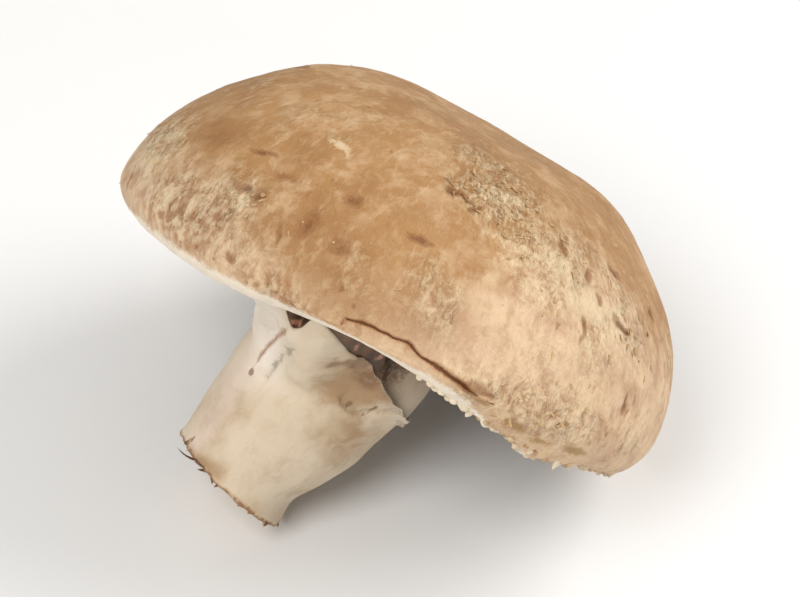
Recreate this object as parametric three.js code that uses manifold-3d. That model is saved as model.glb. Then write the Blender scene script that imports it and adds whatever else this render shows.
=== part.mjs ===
// A portobello mushroom, picked and lying on its side.
// It rests on the low side of its cap and on one edge of its cut stem.
//
// The mushroom is worked out as it grew: its axis is Z, the cap is on top and
// height 0 is the widest circle of the cap. Then it is leaned over, and the two
// spots that carry it are cut flat. Millimetres, +Z up, origin on the surface it
// lies on, under the middle of its bounding box.

import * as THREE from 'three';
import { mergeVertices } from 'three/addons/utils/BufferGeometryUtils.js';
import Module from 'manifold-3d';

const wasm = await Module();
wasm.setup();

const degree = Math.PI / 180;

// Driving dimensions, in millimetres and degrees.

const pieceGap = 0.35; // between two pieces that touch

const cap = {
  radius: 50.5, // half the width of the cap
  height: 34.9, // from the widest circle to the top
  margin: { drop: 6.3, deeperBy: 1.5, deepestAt: -17 }, // how far the margin hangs below it
  arch: { rise: 5.6, at: 271, width: 30 }, // where the margin arches up again
  turnIn: 5.7, // how far the margin rolls in
  lip: { radius: 1.7, inset: 0.4, sweep: 150 }, // the rounded edge of the margin, inset by a share
  ceiling: { edgeRadius: 40.5, edgeHeight: 3, middleHeight: 18, fall: 3.4 }, // under the flesh
  shoulder: { out: 0.5, up: 0.7 }, // the inner wall of the margin turns into the ceiling here
  wobble: 0.013, // the cap is not quite round, as a share of its radius
  crown: { flatter: 1.4, reach: 0.18 }, // the top is flatter than an egg's
  swells: [ // broad swells on its shoulders, at an angle and a share of the way down
    { lift: 2.3, at: 157, width: 60, share: 0.32, reach: 0.2 },
    { lift: 1.3, at: 10, width: 28, share: 0.33, reach: 0.13 },
  ],
  scales: { relief: 0.5, rows: 9, last: 1.25 }, // how far they stand out, and where they end
};

const gills = {
  innerRadius: 15.9,
  outerRadius: 39.6,
  backing: 1.2, // the layer that carries the gills
  gap: 0.55, // between that layer and the flesh, measured straight down
  depth: 9, // of the deepest part of a gill
  endDepth: 1.5, // of a gill at its two ends
  thickness: 0.8,
  fullCount: 48, // gills that reach from the stem to the margin
  shortStart: 0.52, // a short gill starts this far out
  shortDepth: 0.6, // and is this share as deep
  belly: { lean: 0.7, fullness: 0.6 }, // the free edge hangs fuller near the stem
  rootShare: 0.6, // the root of a gill lies this deep in the layer
};

const stem = {
  cutHeight: -39.4, // middle of the cut end
  cutSlope: -0.28, // the cut runs deeper towards angle 0
  cutCentre: -11.3, // the stem leans this far towards angle 180 at the cut
  cutDish: 0.3, // the cut face is this hollow
  cutRadius: 11.9,
  topCentre: -1.2,
  topStraight: -2, // above this height it stands upright
  topWidening: 1, // it spreads by this much under the cap
  neckRadius: 12.8,
  neckHeight: 2,
  waist: 0.3, // how far its three flat sides go in
  nip: { depth: 2.3, at: 350, width: 42, share: 0.78, reach: 0.17 }, // and it is nipped in on one side
  flareHeight: -18, // where the skirt of the veil leaves the stem
  flareRadius: 15.1,
};

const veil = {
  thickness: 1.2,
  skirtRadius: 15.6, // of the torn edge where it stands free
  skirtKick: 0.8, // it stands out further towards angle 0
  skirtTop: -11.5, // height of that edge
  pocketDepth: 2, // how far the skirt stands free of the stem
  heldPocketDepth: 3, // and where it is held to the margin
  tornDepth: 2.6, // how ragged it is
  sag: { free: 0.4, held: 1.6 }, // how far the skirt bellies between its edge and the stem
  heldFrom: 239, // between these two angles the veil still holds on to the margin
  heldTo: 251,
  tearWidth: 7, // over this angle it tears away from the margin
};

const lean = { angle: 40.4, heading: 46.8, turn: -65.1 };
const restDepth = 0.75; // how much of the round surface is pressed flat where it rests

const sectors = 84;
const ceilingRings = 8; // the rings of the ceiling, which the layer under it follows

// Small helpers.

const mix = (a, b, share) => a + (b - a) * share;

const smoothStep = (from, to, value) => {
  const share = Math.min(Math.max((value - from) / (to - from), 0), 1);
  return share * share * (3 - 2 * share);
};

const bellCurve = (distance, width) => Math.exp(-((distance / width) ** 2));

// The signed angle from one direction to another, in degrees.
const turnFrom = (from, turn) => ((turn - from + 540) % 360) - 180;

// The cap's margin hangs deeper on one side, and arches up again on another.
const marginDrop = (phi) => {
  const { drop, deeperBy, deepestAt } = cap.margin;
  const { rise, at, width } = cap.arch;
  const arched = rise * bellCurve(turnFrom(at, phi / degree), width);
  return drop + deeperBy * Math.cos(phi - deepestAt * degree) - arched;
};

// The flesh above the gills, as a height over a radius.
const ceilingHeight = (radius) => {
  const { edgeRadius, edgeHeight, middleHeight, fall } = cap.ceiling;
  const share = Math.min(radius / edgeRadius, 1);
  return mix(middleHeight, edgeHeight, share ** fall);
};

// Closes a stack of rings between two poles into one body. profile(phi) gives the
// same number of [radius, height] pairs at every angle, from the top pole to the
// bottom one, and centreAt(height) moves the axis sideways.
function ringBody(profile, centreAt = () => 0) {
  const columns = [];
  for (let i = 0; i < sectors; i += 1) {
    columns.push(profile((i / sectors) * 2 * Math.PI));
  }
  const rings = columns[0].length;
  const positions = [];
  const faces = [];
  for (let i = 0; i < sectors; i += 1) {
    const phi = (i / sectors) * 2 * Math.PI;
    for (let k = 1; k < rings - 1; k += 1) {
      const [radius, height] = columns[i][k];
      positions.push(centreAt(height) + radius * Math.cos(phi), radius * Math.sin(phi), height);
    }
  }
  const [topHeight, bottomHeight] = [columns[0][0][1], columns[0][rings - 1][1]];
  const top = sectors * (rings - 2);
  const bottom = top + 1;
  positions.push(centreAt(topHeight), 0, topHeight, centreAt(bottomHeight), 0, bottomHeight);
  const at = (i, k) => (i % sectors) * (rings - 2) + k;
  for (let i = 0; i < sectors; i += 1) {
    faces.push(top, at(i, 0), at(i + 1, 0));
    for (let k = 0; k < rings - 3; k += 1) {
      faces.push(at(i, k), at(i, k + 1), at(i + 1, k + 1));
      faces.push(at(i, k), at(i + 1, k + 1), at(i + 1, k));
    }
    faces.push(bottom, at(i + 1, rings - 3), at(i, rings - 3));
  }
  const geometry = new THREE.BufferGeometry();
  geometry.setAttribute('position', new THREE.Float32BufferAttribute(positions, 3));
  geometry.setIndex(faces);
  return geometry;
}

function toSolid(geometry) {
  const plain = geometry.clone();
  plain.deleteAttribute('normal');
  plain.deleteAttribute('uv');
  const merged = mergeVertices(plain, 1e-4);
  return new wasm.Manifold(new wasm.Mesh({
    numProp: 3,
    vertProperties: new Float32Array(merged.attributes.position.array),
    triVerts: new Uint32Array(merged.index.array),
  }));
}

function toGeometry(solid) {
  const mesh = solid.getMesh();
  const geometry = new THREE.BufferGeometry();
  geometry.setAttribute('position', new THREE.BufferAttribute(mesh.vertProperties, 3));
  geometry.setIndex(new THREE.BufferAttribute(mesh.triVerts, 1));
  return geometry;
}

// The cap: a half egg of flesh with a brown skin, whose margin rolls in under it.

// Ragged scales lie in rows like shingles, and stand out only in patches.
function scaleRelief(phi, share) {
  const { relief, rows, last } = cap.scales;
  const waves = 0.4 * Math.sin(5 * phi) + 0.25 * Math.sin(11 * phi + 2) + 0.2 * Math.sin(17 * phi);
  const row = share * rows + waves;
  const shingle = row - Math.floor(row);
  const patches = 0.55 + 0.45 * Math.sin(3 * phi + 5 * share) * Math.cos(4 * phi - 7 * share);
  const fadeOut = smoothStep(0.05, 0.3, share) * (1 - smoothStep(1.1, last, share));
  return relief * shingle * patches * fadeOut;
}

// How far the dome stands out of a half egg.
function domeLift(phi, share) {
  const { crown, swells } = cap;
  let lift = -crown.flatter * bellCurve(share, crown.reach);
  for (const swell of swells) {
    const round = bellCurve(turnFrom(swell.at, phi / degree), swell.width);
    lift += swell.lift * round * bellCurve(share - swell.share, swell.reach);
  }
  return lift;
}

function roundness(phi) {
  return 1 + cap.wobble * (Math.cos(2 * phi - 2.4) + Math.cos(3 * phi - 2.7));
}

function capProfile(phi) {
  const { radius, height, turnIn, lip, shoulder } = cap;
  const { edgeRadius, edgeHeight } = cap.ceiling;
  const drop = marginDrop(phi);
  const outline = [];
  const domeRings = 22;
  for (let k = 0; k <= domeRings; k += 1) {
    const share = k / domeRings;
    const angle = share * 90 * degree;
    const grow = 1 + scaleRelief(phi, share) / radius;
    const [wide, high] = [radius * Math.sin(angle) * grow, height * Math.cos(angle) * grow];
    const slope = new THREE.Vector2(Math.sin(angle) / radius, Math.cos(angle) / height);
    slope.setLength(domeLift(phi, share));
    outline.push([k === 0 ? 0 : wide + slope.x, high + slope.y]);
  }
  const marginRings = 5;
  const marginShare = 0.2;
  for (let k = 1; k <= marginRings; k += 1) {
    const angle = (k / marginRings) * 90 * degree;
    const wall = radius - turnIn * (1 - Math.cos(angle));
    const relief = scaleRelief(phi, 1 + marginShare * (k / marginRings));
    outline.push([wall + relief, -drop * Math.sin(angle)]);
  }
  const lipCentre = radius - turnIn - lip.radius * lip.inset;
  const lipSteps = 5;
  for (let k = 1; k <= lipSteps; k += 1) {
    const angle = (k / lipSteps) * lip.sweep * degree;
    outline.push([
      lipCentre - lip.radius * Math.sin(angle),
      -drop + lip.radius * (1 - Math.cos(angle)),
    ]);
  }
  const lipTop = -drop + 2 * lip.radius;
  outline.push([edgeRadius + shoulder.out, mix(lipTop, edgeHeight, shoulder.up)]);
  const round = outline.map(([wide, high]) => [wide * roundness(phi), high]);
  for (let k = 0; k <= ceilingRings; k += 1) {
    const wide = edgeRadius * (1 - k / ceilingRings);
    round.push([wide, ceilingHeight(wide)]);
  }
  return round;
}

// The gills: thin plates that stand out like spokes under the cap, long and short
// in turn, on one thin layer. They stay free of the stem.

function gillBacking() {
  const { innerRadius, outerRadius, backing, gap } = gills;
  const steps = ceilingRings - 3;
  const under = [];
  const over = [];
  for (let k = 0; k <= steps; k += 1) {
    const wide = mix(innerRadius, outerRadius, k / steps);
    const high = ceilingHeight(wide) - gap;
    over.unshift(new THREE.Vector2(wide, high));
    under.push(new THREE.Vector2(wide, high - backing));
  }
  const ring = [...under, ...over, under[0].clone()];
  return new THREE.LatheGeometry(ring, sectors).rotateX(Math.PI / 2);
}

// One gill in the plane of radius and height: its top edge is sunk in the backing
// and its free edge bellies down between its two ends.
function gillPlate(startShare) {
  const { innerRadius, outerRadius, backing, gap, depth, endDepth, thickness } = gills;
  const { shortStart, shortDepth, belly, rootShare } = gills;
  const inset = thickness / 2;
  const start = mix(innerRadius, outerRadius, startShare) + inset;
  const end = outerRadius - inset;
  const bellyDepth = mix(depth, depth * shortDepth, startShare / shortStart);
  const outline = new THREE.Shape();
  const steps = 4;
  for (let k = 0; k <= steps; k += 1) {
    const share = k / steps;
    const wide = mix(start, end, share);
    const hang = Math.max(Math.sin(Math.PI * share ** belly.lean), 0) ** belly.fullness;
    const free = ceilingHeight(wide) - gap - mix(endDepth + backing, bellyDepth, hang);
    if (k === 0) {
      outline.moveTo(wide, free);
    } else {
      outline.lineTo(wide, free);
    }
  }
  for (let k = steps; k >= 0; k -= 2) {
    const wide = mix(start, end, k / steps);
    outline.lineTo(wide, ceilingHeight(wide) - gap - backing * rootShare);
  }
  const plate = new THREE.ExtrudeGeometry(outline, { depth: thickness, bevelEnabled: false });
  return plate.translate(0, 0, -thickness / 2).rotateX(Math.PI / 2);
}

function gillRing() {
  const full = gillPlate(0);
  const short = gillPlate(gills.shortStart);
  const step = (2 * Math.PI) / gills.fullCount;
  let ring = toSolid(gillBacking());
  for (let k = 0; k < gills.fullCount; k += 1) {
    ring = ring.add(toSolid(full.clone().rotateZ(k * step)));
    ring = ring.add(toSolid(short.clone().rotateZ((k + 0.5) * step)));
  }
  return toGeometry(ring);
}

// The stem, with what is left of the veil: a torn skirt round the stem that still
// holds on to the margin of the cap on one side.

const stemCentre = (height) => {
  const share = Math.max((stem.topStraight - height) / (stem.topStraight - stem.cutHeight), 0);
  return mix(stem.topCentre, stem.cutCentre, share);
};

function stemProfile(phi) {
  const { cutHeight, cutSlope, cutRadius, neckRadius, flareHeight, flareRadius } = stem;
  const { cutDish, topWidening, neckHeight, waist, nip } = stem;
  const { thickness, skirtRadius, skirtKick, skirtTop, tornDepth, sag } = veil;
  const { heldFrom, heldTo, tearWidth, pocketDepth, heldPocketDepth } = veil;
  const turn = phi / degree;
  const held = smoothStep(heldFrom - tearWidth, heldFrom, turn)
    * (1 - smoothStep(heldTo, heldTo + tearWidth, turn));
  const ragged = tornDepth * (0.5 * Math.sin(4 * phi + 1) + 0.3 * Math.sin(9 * phi));
  const lipWidth = cap.lip.radius * (2 + cap.lip.inset);
  const marginWall = (cap.radius - cap.turnIn - lipWidth) * roundness(phi) - 2 * pieceGap;
  const heldRadius = marginWall - stemCentre(skirtTop) * Math.cos(phi);
  const edgeRadius = mix(skirtRadius + skirtKick * Math.cos(phi), heldRadius, held);
  const edgeHeight = mix(skirtTop + ragged, -marginDrop(phi) + cap.lip.radius, held);
  const pocket = mix(skirtTop - pocketDepth, edgeHeight - heldPocketDepth, held) + thickness;

  const topRadius = neckRadius + topWidening;
  const outline = [[0, ceilingHeight(0) - pieceGap]];
  outline.push([topRadius / 2, ceilingHeight(topRadius) - pieceGap]);
  outline.push([topRadius, ceilingHeight(topRadius + 2 * thickness) - pieceGap - thickness / 2]);
  outline.push([neckRadius, neckHeight]);
  outline.push([neckRadius, pocket]);
  outline.push([mix(neckRadius, edgeRadius - thickness, 0.5), mix(pocket, edgeHeight, 0.4)]);
  outline.push([edgeRadius - thickness / 2, edgeHeight]);
  outline.push([edgeRadius, edgeHeight - thickness / 2]);
  const flareSteps = 4;
  for (let k = 1; k <= flareSteps; k += 1) {
    const share = k / flareSteps;
    const belly = Math.sin(Math.PI * share) * mix(sag.free, sag.held, held);
    outline.push([
      mix(edgeRadius, flareRadius, share ** 0.8),
      mix(edgeHeight - thickness, flareHeight, share ** mix(1, 1.5, held)) + belly,
    ]);
  }
  const cutEdge = cutHeight + cutSlope * cutRadius * Math.cos(phi);
  const shaftSteps = 9;
  for (let k = 1; k <= shaftSteps; k += 1) {
    const share = k / shaftSteps;
    const hollow = waist * Math.sin(3 * phi + 1) * Math.sin(Math.PI * share);
    const nipped = nip.depth * bellCurve(turnFrom(nip.at, turn), nip.width)
      * bellCurve(share - nip.share, nip.reach);
    outline.push([
      mix(flareRadius, cutRadius, share) + hollow - nipped,
      mix(flareHeight, cutEdge, share),
    ]);
  }
  outline.push([cutRadius / 2, mix(cutHeight, cutEdge, 0.5) + cutDish]);
  outline.push([0, cutHeight + cutDish]);
  return outline;
}

// Lean the mushroom over, cut it flat where it rests, and put its origin in place.

const leanOver = new THREE.Matrix4()
  .makeRotationZ(lean.heading * degree)
  .multiply(new THREE.Matrix4().makeRotationY(lean.angle * degree))
  .multiply(new THREE.Matrix4().makeRotationZ(lean.turn * degree));

const leaned = {
  cap: ringBody(capProfile).applyMatrix4(leanOver),
  gills: gillRing().applyMatrix4(leanOver),
  stem: ringBody(stemProfile, stemCentre).applyMatrix4(leanOver),
};

const whole = new THREE.Box3();
for (const geometry of Object.values(leaned)) {
  geometry.computeBoundingBox();
  whole.union(geometry.boundingBox);
}
const middle = whole.getCenter(new THREE.Vector3());
const size = whole.getSize(new THREE.Vector3());

function restFlat(geometry) {
  geometry.translate(-middle.x, -middle.y, -whole.min.z - restDepth);
  const below = new THREE.BoxGeometry(2 * size.x, 2 * size.y, size.z);
  return toGeometry(toSolid(geometry).subtract(toSolid(below.translate(0, 0, -size.z / 2))));
}

const skin = new THREE.MeshStandardMaterial({ color: 0xb98d63, roughness: 0.75, metalness: 0 });
const gillBrown = new THREE.MeshStandardMaterial({ color: 0x4a2a1c, roughness: 0.85, metalness: 0 });
const cream = new THREE.MeshStandardMaterial({ color: 0xd9cdb6, roughness: 0.6, metalness: 0 });

function piece(name, geometry, material) {
  const mesh = new THREE.Mesh(restFlat(geometry), material);
  mesh.name = name;
  return mesh;
}

const mushroom = new THREE.Group();
mushroom.name = 'portobello_mushroom';
mushroom.add(piece('cap', leaned.cap, skin));
mushroom.add(piece('gills', leaned.gills, gillBrown));
mushroom.add(piece('stem', leaned.stem, cream));

export default mushroom;
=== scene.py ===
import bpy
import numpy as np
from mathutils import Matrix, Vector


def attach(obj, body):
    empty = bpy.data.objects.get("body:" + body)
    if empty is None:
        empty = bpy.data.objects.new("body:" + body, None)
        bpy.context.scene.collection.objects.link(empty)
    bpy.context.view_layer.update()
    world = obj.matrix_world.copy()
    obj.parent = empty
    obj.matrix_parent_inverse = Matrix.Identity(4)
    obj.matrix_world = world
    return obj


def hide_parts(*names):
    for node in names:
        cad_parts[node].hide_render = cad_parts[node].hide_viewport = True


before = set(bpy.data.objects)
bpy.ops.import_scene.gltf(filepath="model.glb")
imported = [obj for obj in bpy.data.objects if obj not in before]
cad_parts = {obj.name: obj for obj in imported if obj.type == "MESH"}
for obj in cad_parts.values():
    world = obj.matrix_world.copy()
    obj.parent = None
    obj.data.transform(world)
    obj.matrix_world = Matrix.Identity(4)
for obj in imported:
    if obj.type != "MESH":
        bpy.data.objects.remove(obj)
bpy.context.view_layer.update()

# A portobello mushroom that lies on the low side of its cap and on one edge of its cut stem.
# Each piece is worked out as the mushroom grew, in millimetres and degrees: the axis is Z, height 0 is the
# widest circle of the cap, and angles run round the axis. toFrame then leans it over, in metres.

degree = np.pi / 180
millimetre = 0.001

lean = {
    "angle": 40.4,
    "heading": 46.8,
    "turn": -65.1,
    "seat": (-0.902, -0.690, 35.246),  # where the middle of the widest circle ends up
}


# Small helpers.

# A plain blend from one value to another by a share.
def mix(a, b, share):
    return a + (b - a) * share


# The share of the way from one value to another, held between 0 and 1 and eased by 3t2 - 2t3.
def easeBetween(start, end, value):
    share = np.clip((value - start) / (end - start), 0, 1)
    return share * share * (3 - 2 * share)


# A share that comes in between the first two values and goes out again between the last two: two eased shares
# multiplied.
def inAndOut(value, start, full, fading, end):
    return easeBetween(start, full, value) * easeBetween(end, fading, value)


# A bell curve: 1 at no distance, and e to the power of minus the square of distance over width.
def bell(distance, width):
    return np.exp(-((distance / width) ** 2))


# The signed turn from one direction to another, from -180 to 180 degrees.
def turnFrom(start, turn):
    return (turn - start + 540) % 360 - 180


# A swell round an angle: (how much, angle, width), by a bell curve.
def swellAt(turn, swell):
    much, atTurn, width = swell
    return much * bell(turnFrom(atTurn, turn), width)


# Directions or points made one unit long.
def unit(vectors):
    return vectors / np.maximum(np.linalg.norm(vectors, axis=-1, keepdims=True), 1e-9)


# Radius, angle and height as a point.
def aroundAxis(radius, turn, height):
    phi = turn * degree
    return np.stack([radius * np.cos(phi), radius * np.sin(phi), height + 0 * radius], axis=-1)


# A turn about Z by turn, then about Y by angle, then about Z by heading, and a shift to the seat.
# What would be lower than the surface is pressed flat onto it.
def toFrame(points):
    def aboutZ(turn):
        c, s = np.cos(turn * degree), np.sin(turn * degree)
        return np.array([[c, -s, 0], [s, c, 0], [0, 0, 1]])

    c, s = np.cos(lean["angle"] * degree), np.sin(lean["angle"] * degree)
    aboutY = np.array([[c, 0, s], [0, 1, 0], [-s, 0, c]])
    turned = points @ (aboutZ(lean["heading"]) @ aboutY @ aboutZ(lean["turn"])).T
    placed = (turned + np.array(lean["seat"])) * millimetre
    placed[..., 2] = np.maximum(placed[..., 2], 0)
    return placed


noiseBoxes = {
    "first": 512,  # the box that the origin is in, so that no box number falls below zero
    "factors": (374761393, 668265263, 1440662683),
    "seedFactor": 1274126177,
    "mixing": [(13, 1103515245), (16, 69069)],  # by how many bits, and times what
}


# One even random number from 0 to 1 for each box: its three numbers and the seed are mixed by large factors.
def boxNumber(box, seed):
    mixed = sum(box[..., k] * noiseBoxes["factors"][k] for k in range(3)) + seed * noiseBoxes["seedFactor"]
    for bits, factor in noiseBoxes["mixing"]:
        mixed = ((mixed & 0xFFFFFFFF) ^ ((mixed & 0xFFFFFFFF) >> bits)) * factor
    return ((mixed >> 8) & 0xFFFF) / 0xFFFF


# The box of that size which each point is in, and the point itself counted in boxes.
def boxOf(points, size):
    scaled = points / np.asarray(size, dtype=float) + noiseBoxes["first"]
    return np.floor(scaled).astype(np.int64), scaled


# Smooth noise from -1 to 1: random numbers at the corners of boxes of that size, blended by 3t2 - 2t3.
def softNoise(points, size, seed):
    corner, scaled = boxOf(points, size)
    share = scaled - corner
    share = share * share * (3 - 2 * share)
    total = 0
    for step in np.ndindex(2, 2, 2):
        weight = np.prod(np.where(np.array(step) == 1, share, 1 - share), axis=-1)
        total = total + weight * boxNumber(corner + step, seed)
    return total * 2 - 1


# Layers of soft noise added up, each half as large and half as strong as the one before.
def layeredNoise(points, size, seed, layers=3):
    total, strength, whole = 0, 1, 0
    size = np.asarray(size, dtype=float)
    for layer in range(layers):
        total = total + strength * softNoise(points, size / 2**layer, seed + 17 * layer)
        whole = whole + strength
        strength = strength / 2
    return total / whole


# Layered noise of a pair of numbers: its strength and its size.
def roughen(points, pair, seed, layers):
    strength, size = pair
    return strength * layeredNoise(points, size, seed, layers)


# Scattered points, one in each box of that size. For every place: how much further the second nearest one is
# than the nearest, the way to the nearest and a random number that belongs to it.
def cellNoise(points, size, seed):
    corner, scaled = boxOf(points, size)
    nearest = second = np.full(points.shape[:-1], 9.0)
    way = np.zeros(points.shape)
    number = np.zeros(points.shape[:-1])
    for step in np.ndindex(3, 3, 3):
        box = corner + step - 1
        jitter = np.stack([boxNumber(box, seed + k) for k in (1, 2, 3)], axis=-1)
        offset = box + jitter - scaled
        far = np.linalg.norm(offset, axis=-1)
        closer = far < nearest
        second = np.where(closer, nearest, np.minimum(second, far))
        way = np.where(closer[..., None], offset, way)
        number = np.where(closer, boxNumber(box, seed + 4), number)
        nearest = np.where(closer, far, nearest)
    return second - nearest, way, number


# A curve through given points: rows of each are blended by a Catmull-Rom spline, with that many
# steps between one point and the next. The points are arrays, so a whole fan of curves is made at once.
def smoothThrough(points, steps):
    points = np.asarray(points, dtype=float)
    padded = np.concatenate([points[:1], points, points[-1:]])
    rows = [points[:1]]
    for k, count in enumerate(steps):
        before, start, end, after = padded[k:k + 4]
        for j in range(1, count + 1):
            t = j / count
            rows.append((0.5 * (
                2 * start + (end - before) * t + (2 * before - 5 * start + 4 * end - after) * t**2
                + (3 * start - before - 3 * end + after) * t**3
            ))[None])
    return np.concatenate(rows)


# Values that follow chosen (angle, value, ...) points all the way round: straight from one to the next, and
# rounded off by the mean of seven angles that lie within the softness.
def roundTheAxis(turn, points, softness):
    chosen = np.array(points, dtype=float)
    offsets = np.linspace(-softness, softness, 7)
    values = [
        np.mean([np.interp(turn + offset, chosen[:, 0], column, period=360) for offset in offsets], axis=0)
        for column in chosen[:, 1:].T
    ]
    return np.stack(values, axis=-1)


# The outward normal of a grid whose columns run round: the cross product of its two directions.
def gridNormals(points):
    down = np.gradient(points, axis=0)
    across = np.roll(points, -1, axis=1) - np.roll(points, 1, axis=1)
    return unit(np.cross(down, across))


# The closest distance from (x, y) places to a line through (x, y) points, and how far along it that is.
def lineDistance(x, y, line):
    closest, reached = np.full(x.shape, 99.0), np.zeros(x.shape)
    for k, ((startX, startY), (endX, endY)) in enumerate(zip(line, line[1:])):
        alongX, alongY = endX - startX, endY - startY
        reach = np.clip(((x - startX) * alongX + (y - startY) * alongY) / (alongX**2 + alongY**2), 0, 1)
        distance = np.hypot(x - startX - reach * alongX, y - startY - reach * alongY)
        reached = np.where(distance < closest, (k + reach) / (len(line) - 1), reached)
        closest = np.minimum(closest, distance)
    return closest, reached


# Puts arrays of points and of faces with three or four corners each into a mesh, with its marks.
def arrayMesh(name, points, faces, marks, material):
    mesh = bpy.data.meshes.new(name)
    corners = np.concatenate([f.ravel() for f in faces])
    starts, begin = [], 0
    for group in faces:
        starts.append(begin + np.arange(len(group)) * group.shape[1])
        begin += group.size
    mesh.vertices.add(len(points))
    mesh.vertices.foreach_set("co", points.ravel())
    mesh.loops.add(len(corners))
    mesh.loops.foreach_set("vertex_index", corners)
    mesh.polygons.add(sum(len(f) for f in faces))
    mesh.polygons.foreach_set("loop_start", np.concatenate(starts))
    mesh.polygons.foreach_set("use_smooth", np.ones(len(mesh.polygons), dtype=bool))
    mesh.update(calc_edges=True)
    mesh.validate()
    for key, value in marks.items():
        kind, field = ("FLOAT_VECTOR", "vector") if value.ndim == 2 else ("FLOAT", "value")
        mesh.attributes.new(key, kind, "POINT").data.foreach_set(field, np.ascontiguousarray(value).ravel())
    mesh.materials.append(material)
    piece = bpy.data.objects.new(name, mesh)
    bpy.context.scene.collection.objects.link(piece)
    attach(piece, "root")
    return piece


# Puts rings of points into a mesh. The first and the last ring shrink to one point each, and every other
# ring is joined to the next by quads, so the body is closed. looped rings close on the first one instead.
def ringMesh(name, rings, marks, material, looped=False):
    columns = rings.shape[1]
    inner = slice(None) if looped else slice(1, -1)
    count = len(rings[inner])
    points = toFrame(rings[inner]).reshape(-1, 3)
    flat = {key: value[inner].reshape(-1, *value.shape[2:]) for key, value in marks.items()}
    rowIds = np.arange(count if looped else count - 1)
    columnIds = np.arange(columns)
    a, b = np.meshgrid(rowIds, columnIds, indexing="ij")
    below, beside = (a + 1) % count, (b + 1) % columns
    quads = np.stack([a * columns + b, below * columns + b, below * columns + beside, a * columns + beside])
    faces = [quads.transpose(1, 2, 0).reshape(-1, 4)]
    if not looped:
        top, bottom = len(points), len(points) + 1
        ends = toFrame(rings[[0, -1]]).mean(axis=1)
        points = np.concatenate([points, ends])
        flat = {key: np.concatenate([flat[key], marks[key][[0, -1]].mean(axis=1)]) for key in marks}
        after = (columnIds + 1) % columns
        last = (count - 1) * columns
        faces.append(np.stack([np.full(columns, top), columnIds, after], axis=-1))
        faces.append(np.stack([np.full(columns, bottom), last + after, last + columnIds], axis=-1))
    return arrayMesh(name, points, faces, flat, material)


strip = {"steps": 7, "sides": 8}  # how many places along each small strip, and points round it


# Even shares from 0 to 1 along a strip, in one row, so that each strip's own values spread over it.
def alongStrip():
    return np.linspace(0, 1, strip["steps"])[None]


# Many small closed strips in one mesh. Each follows its row of centres, with points round every step at side
# times cosine plus rise times sine, and both of its ends close in one point. side crossed with rise points
# along the strip. Each strip has one tone.
def stripMesh(name, centres, sides, rises, brown, tone, material):
    count, steps = centres.shape[:2]
    n = strip["sides"]
    around = np.arange(n)[:, None] * 360 / n * degree
    rings = (centres[:, 1:-1, None] + sides[:, 1:-1, None] * np.cos(around)
             + rises[:, 1:-1, None] * np.sin(around)).reshape(count, -1, 3)
    points = np.concatenate([rings, centres[:, :1], centres[:, -1:]], axis=1)
    size = points.shape[1]
    step, side = np.meshgrid(np.arange(steps - 3), np.arange(n), indexing="ij")
    after = (side + 1) % n
    quads = np.stack([step * n + side, step * n + after, step * n + n + after, step * n + n + side], axis=-1)
    side, after, last = side[0], after[0], (steps - 3) * n
    caps = np.concatenate([
        np.stack([np.full(n, size - 2), after, side], axis=-1),
        np.stack([np.full(n, size - 1), last + side, last + after], axis=-1),
    ])
    first = np.arange(count)[:, None, None] * size
    faces = [(quads.reshape(1, -1, 4) + first).reshape(-1, 4), (caps[None] + first).reshape(-1, 3)]
    flat = {}
    for key, value in (("brown", np.clip(brown, 0, 1)), ("tone", np.repeat(tone[:, None], steps, axis=1))):
        spread = np.repeat(value[:, 1:-1], n, axis=1)
        flat[key] = np.concatenate([spread, value[:, :1], value[:, -1:]], axis=1).reshape(-1)
    return arrayMesh(name, toFrame(points).reshape(-1, 3), faces, flat, material)


# One row for each strip of a group: the strip's own values, then the traits that the whole group shares.
def withTraits(traits, *own):
    return np.column_stack([*own, np.tile(traits, (len(own[0]), 1))])


# One direction for each strip, times one value for each of its steps.
def stepwise(direction, amounts):
    return direction[:, None] * amounts[..., None]


# The strongest of a list of spots at every place. A spot is (angle, place, length, width, tilt, strength): a
# bell curve of the way along from its middle, times one of the way round, both turned by its tilt.
def strongestSpot(spots, wayAlong, wayRound):
    strongest = 0
    for atTurn, atPlace, length, width, tilt, strength in spots:
        along, beside = wayAlong(atPlace), wayRound(atTurn)
        c, s = np.cos(tilt * degree), np.sin(tilt * degree)
        spot = strength * bell(along * c + beside * s, length) * bell(beside * c - along * s, width)
        strongest = np.maximum(strongest, spot)
    return strongest


# The shape of the cap.

cap = {
    "radius": 50.5,
    "height": 34.9,
    "drop": 6.3,  # how far the margin hangs below the widest circle
    "deeperBy": 1.5,
    "deepestAt": -17,
    # it arches up on the near side, and a little beside the place it lies on: how much, angle, width
    "arch": (5.6, 271, 30),
    "nick": (1.1, 326, 13),
    "turnIn": 5.7,
    "lipRadius": 1.7,
    "lipInset": 0.4,
    "lipSweep": 150,
    "lipRows": 12,
    "marginShare": 0.2,  # the margin is rows 1 to 1.2, the dome is rows 0 to 1
    "ceilingEdge": 40.5,
    "ceilingLow": 3,
    "ceilingHigh": 18,
    "ceilingFall": 3.4,
    "ceilingRows": 10,
    "wobble": 0.013,
    "waves": [(2, 2.4), (3, 2.7)],  # how many round the cap, and where they begin
    "flatter": (1.4, 0.18),  # the top is flatter than an egg's: how much, and how far out
    # broad swells on the shoulders: height, angle, width, row, reach
    "swells": [(2.0, 157, 60, 0.32, 0.2), (1.3, 10, 28, 0.33, 0.13)],
    "columns": 480,
    "closerAt": 275,  # the columns stand closer together on this side
    "closer": 20,
    # how the rows are spread: from the top to the lip, each (share of all rows, row)
    "rowSpread": [(0, 0), (0.18, 0.3), (0.62, 0.9), (0.82, 1.0), (1, 1.2)],
    "rows": 180,
}


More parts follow.
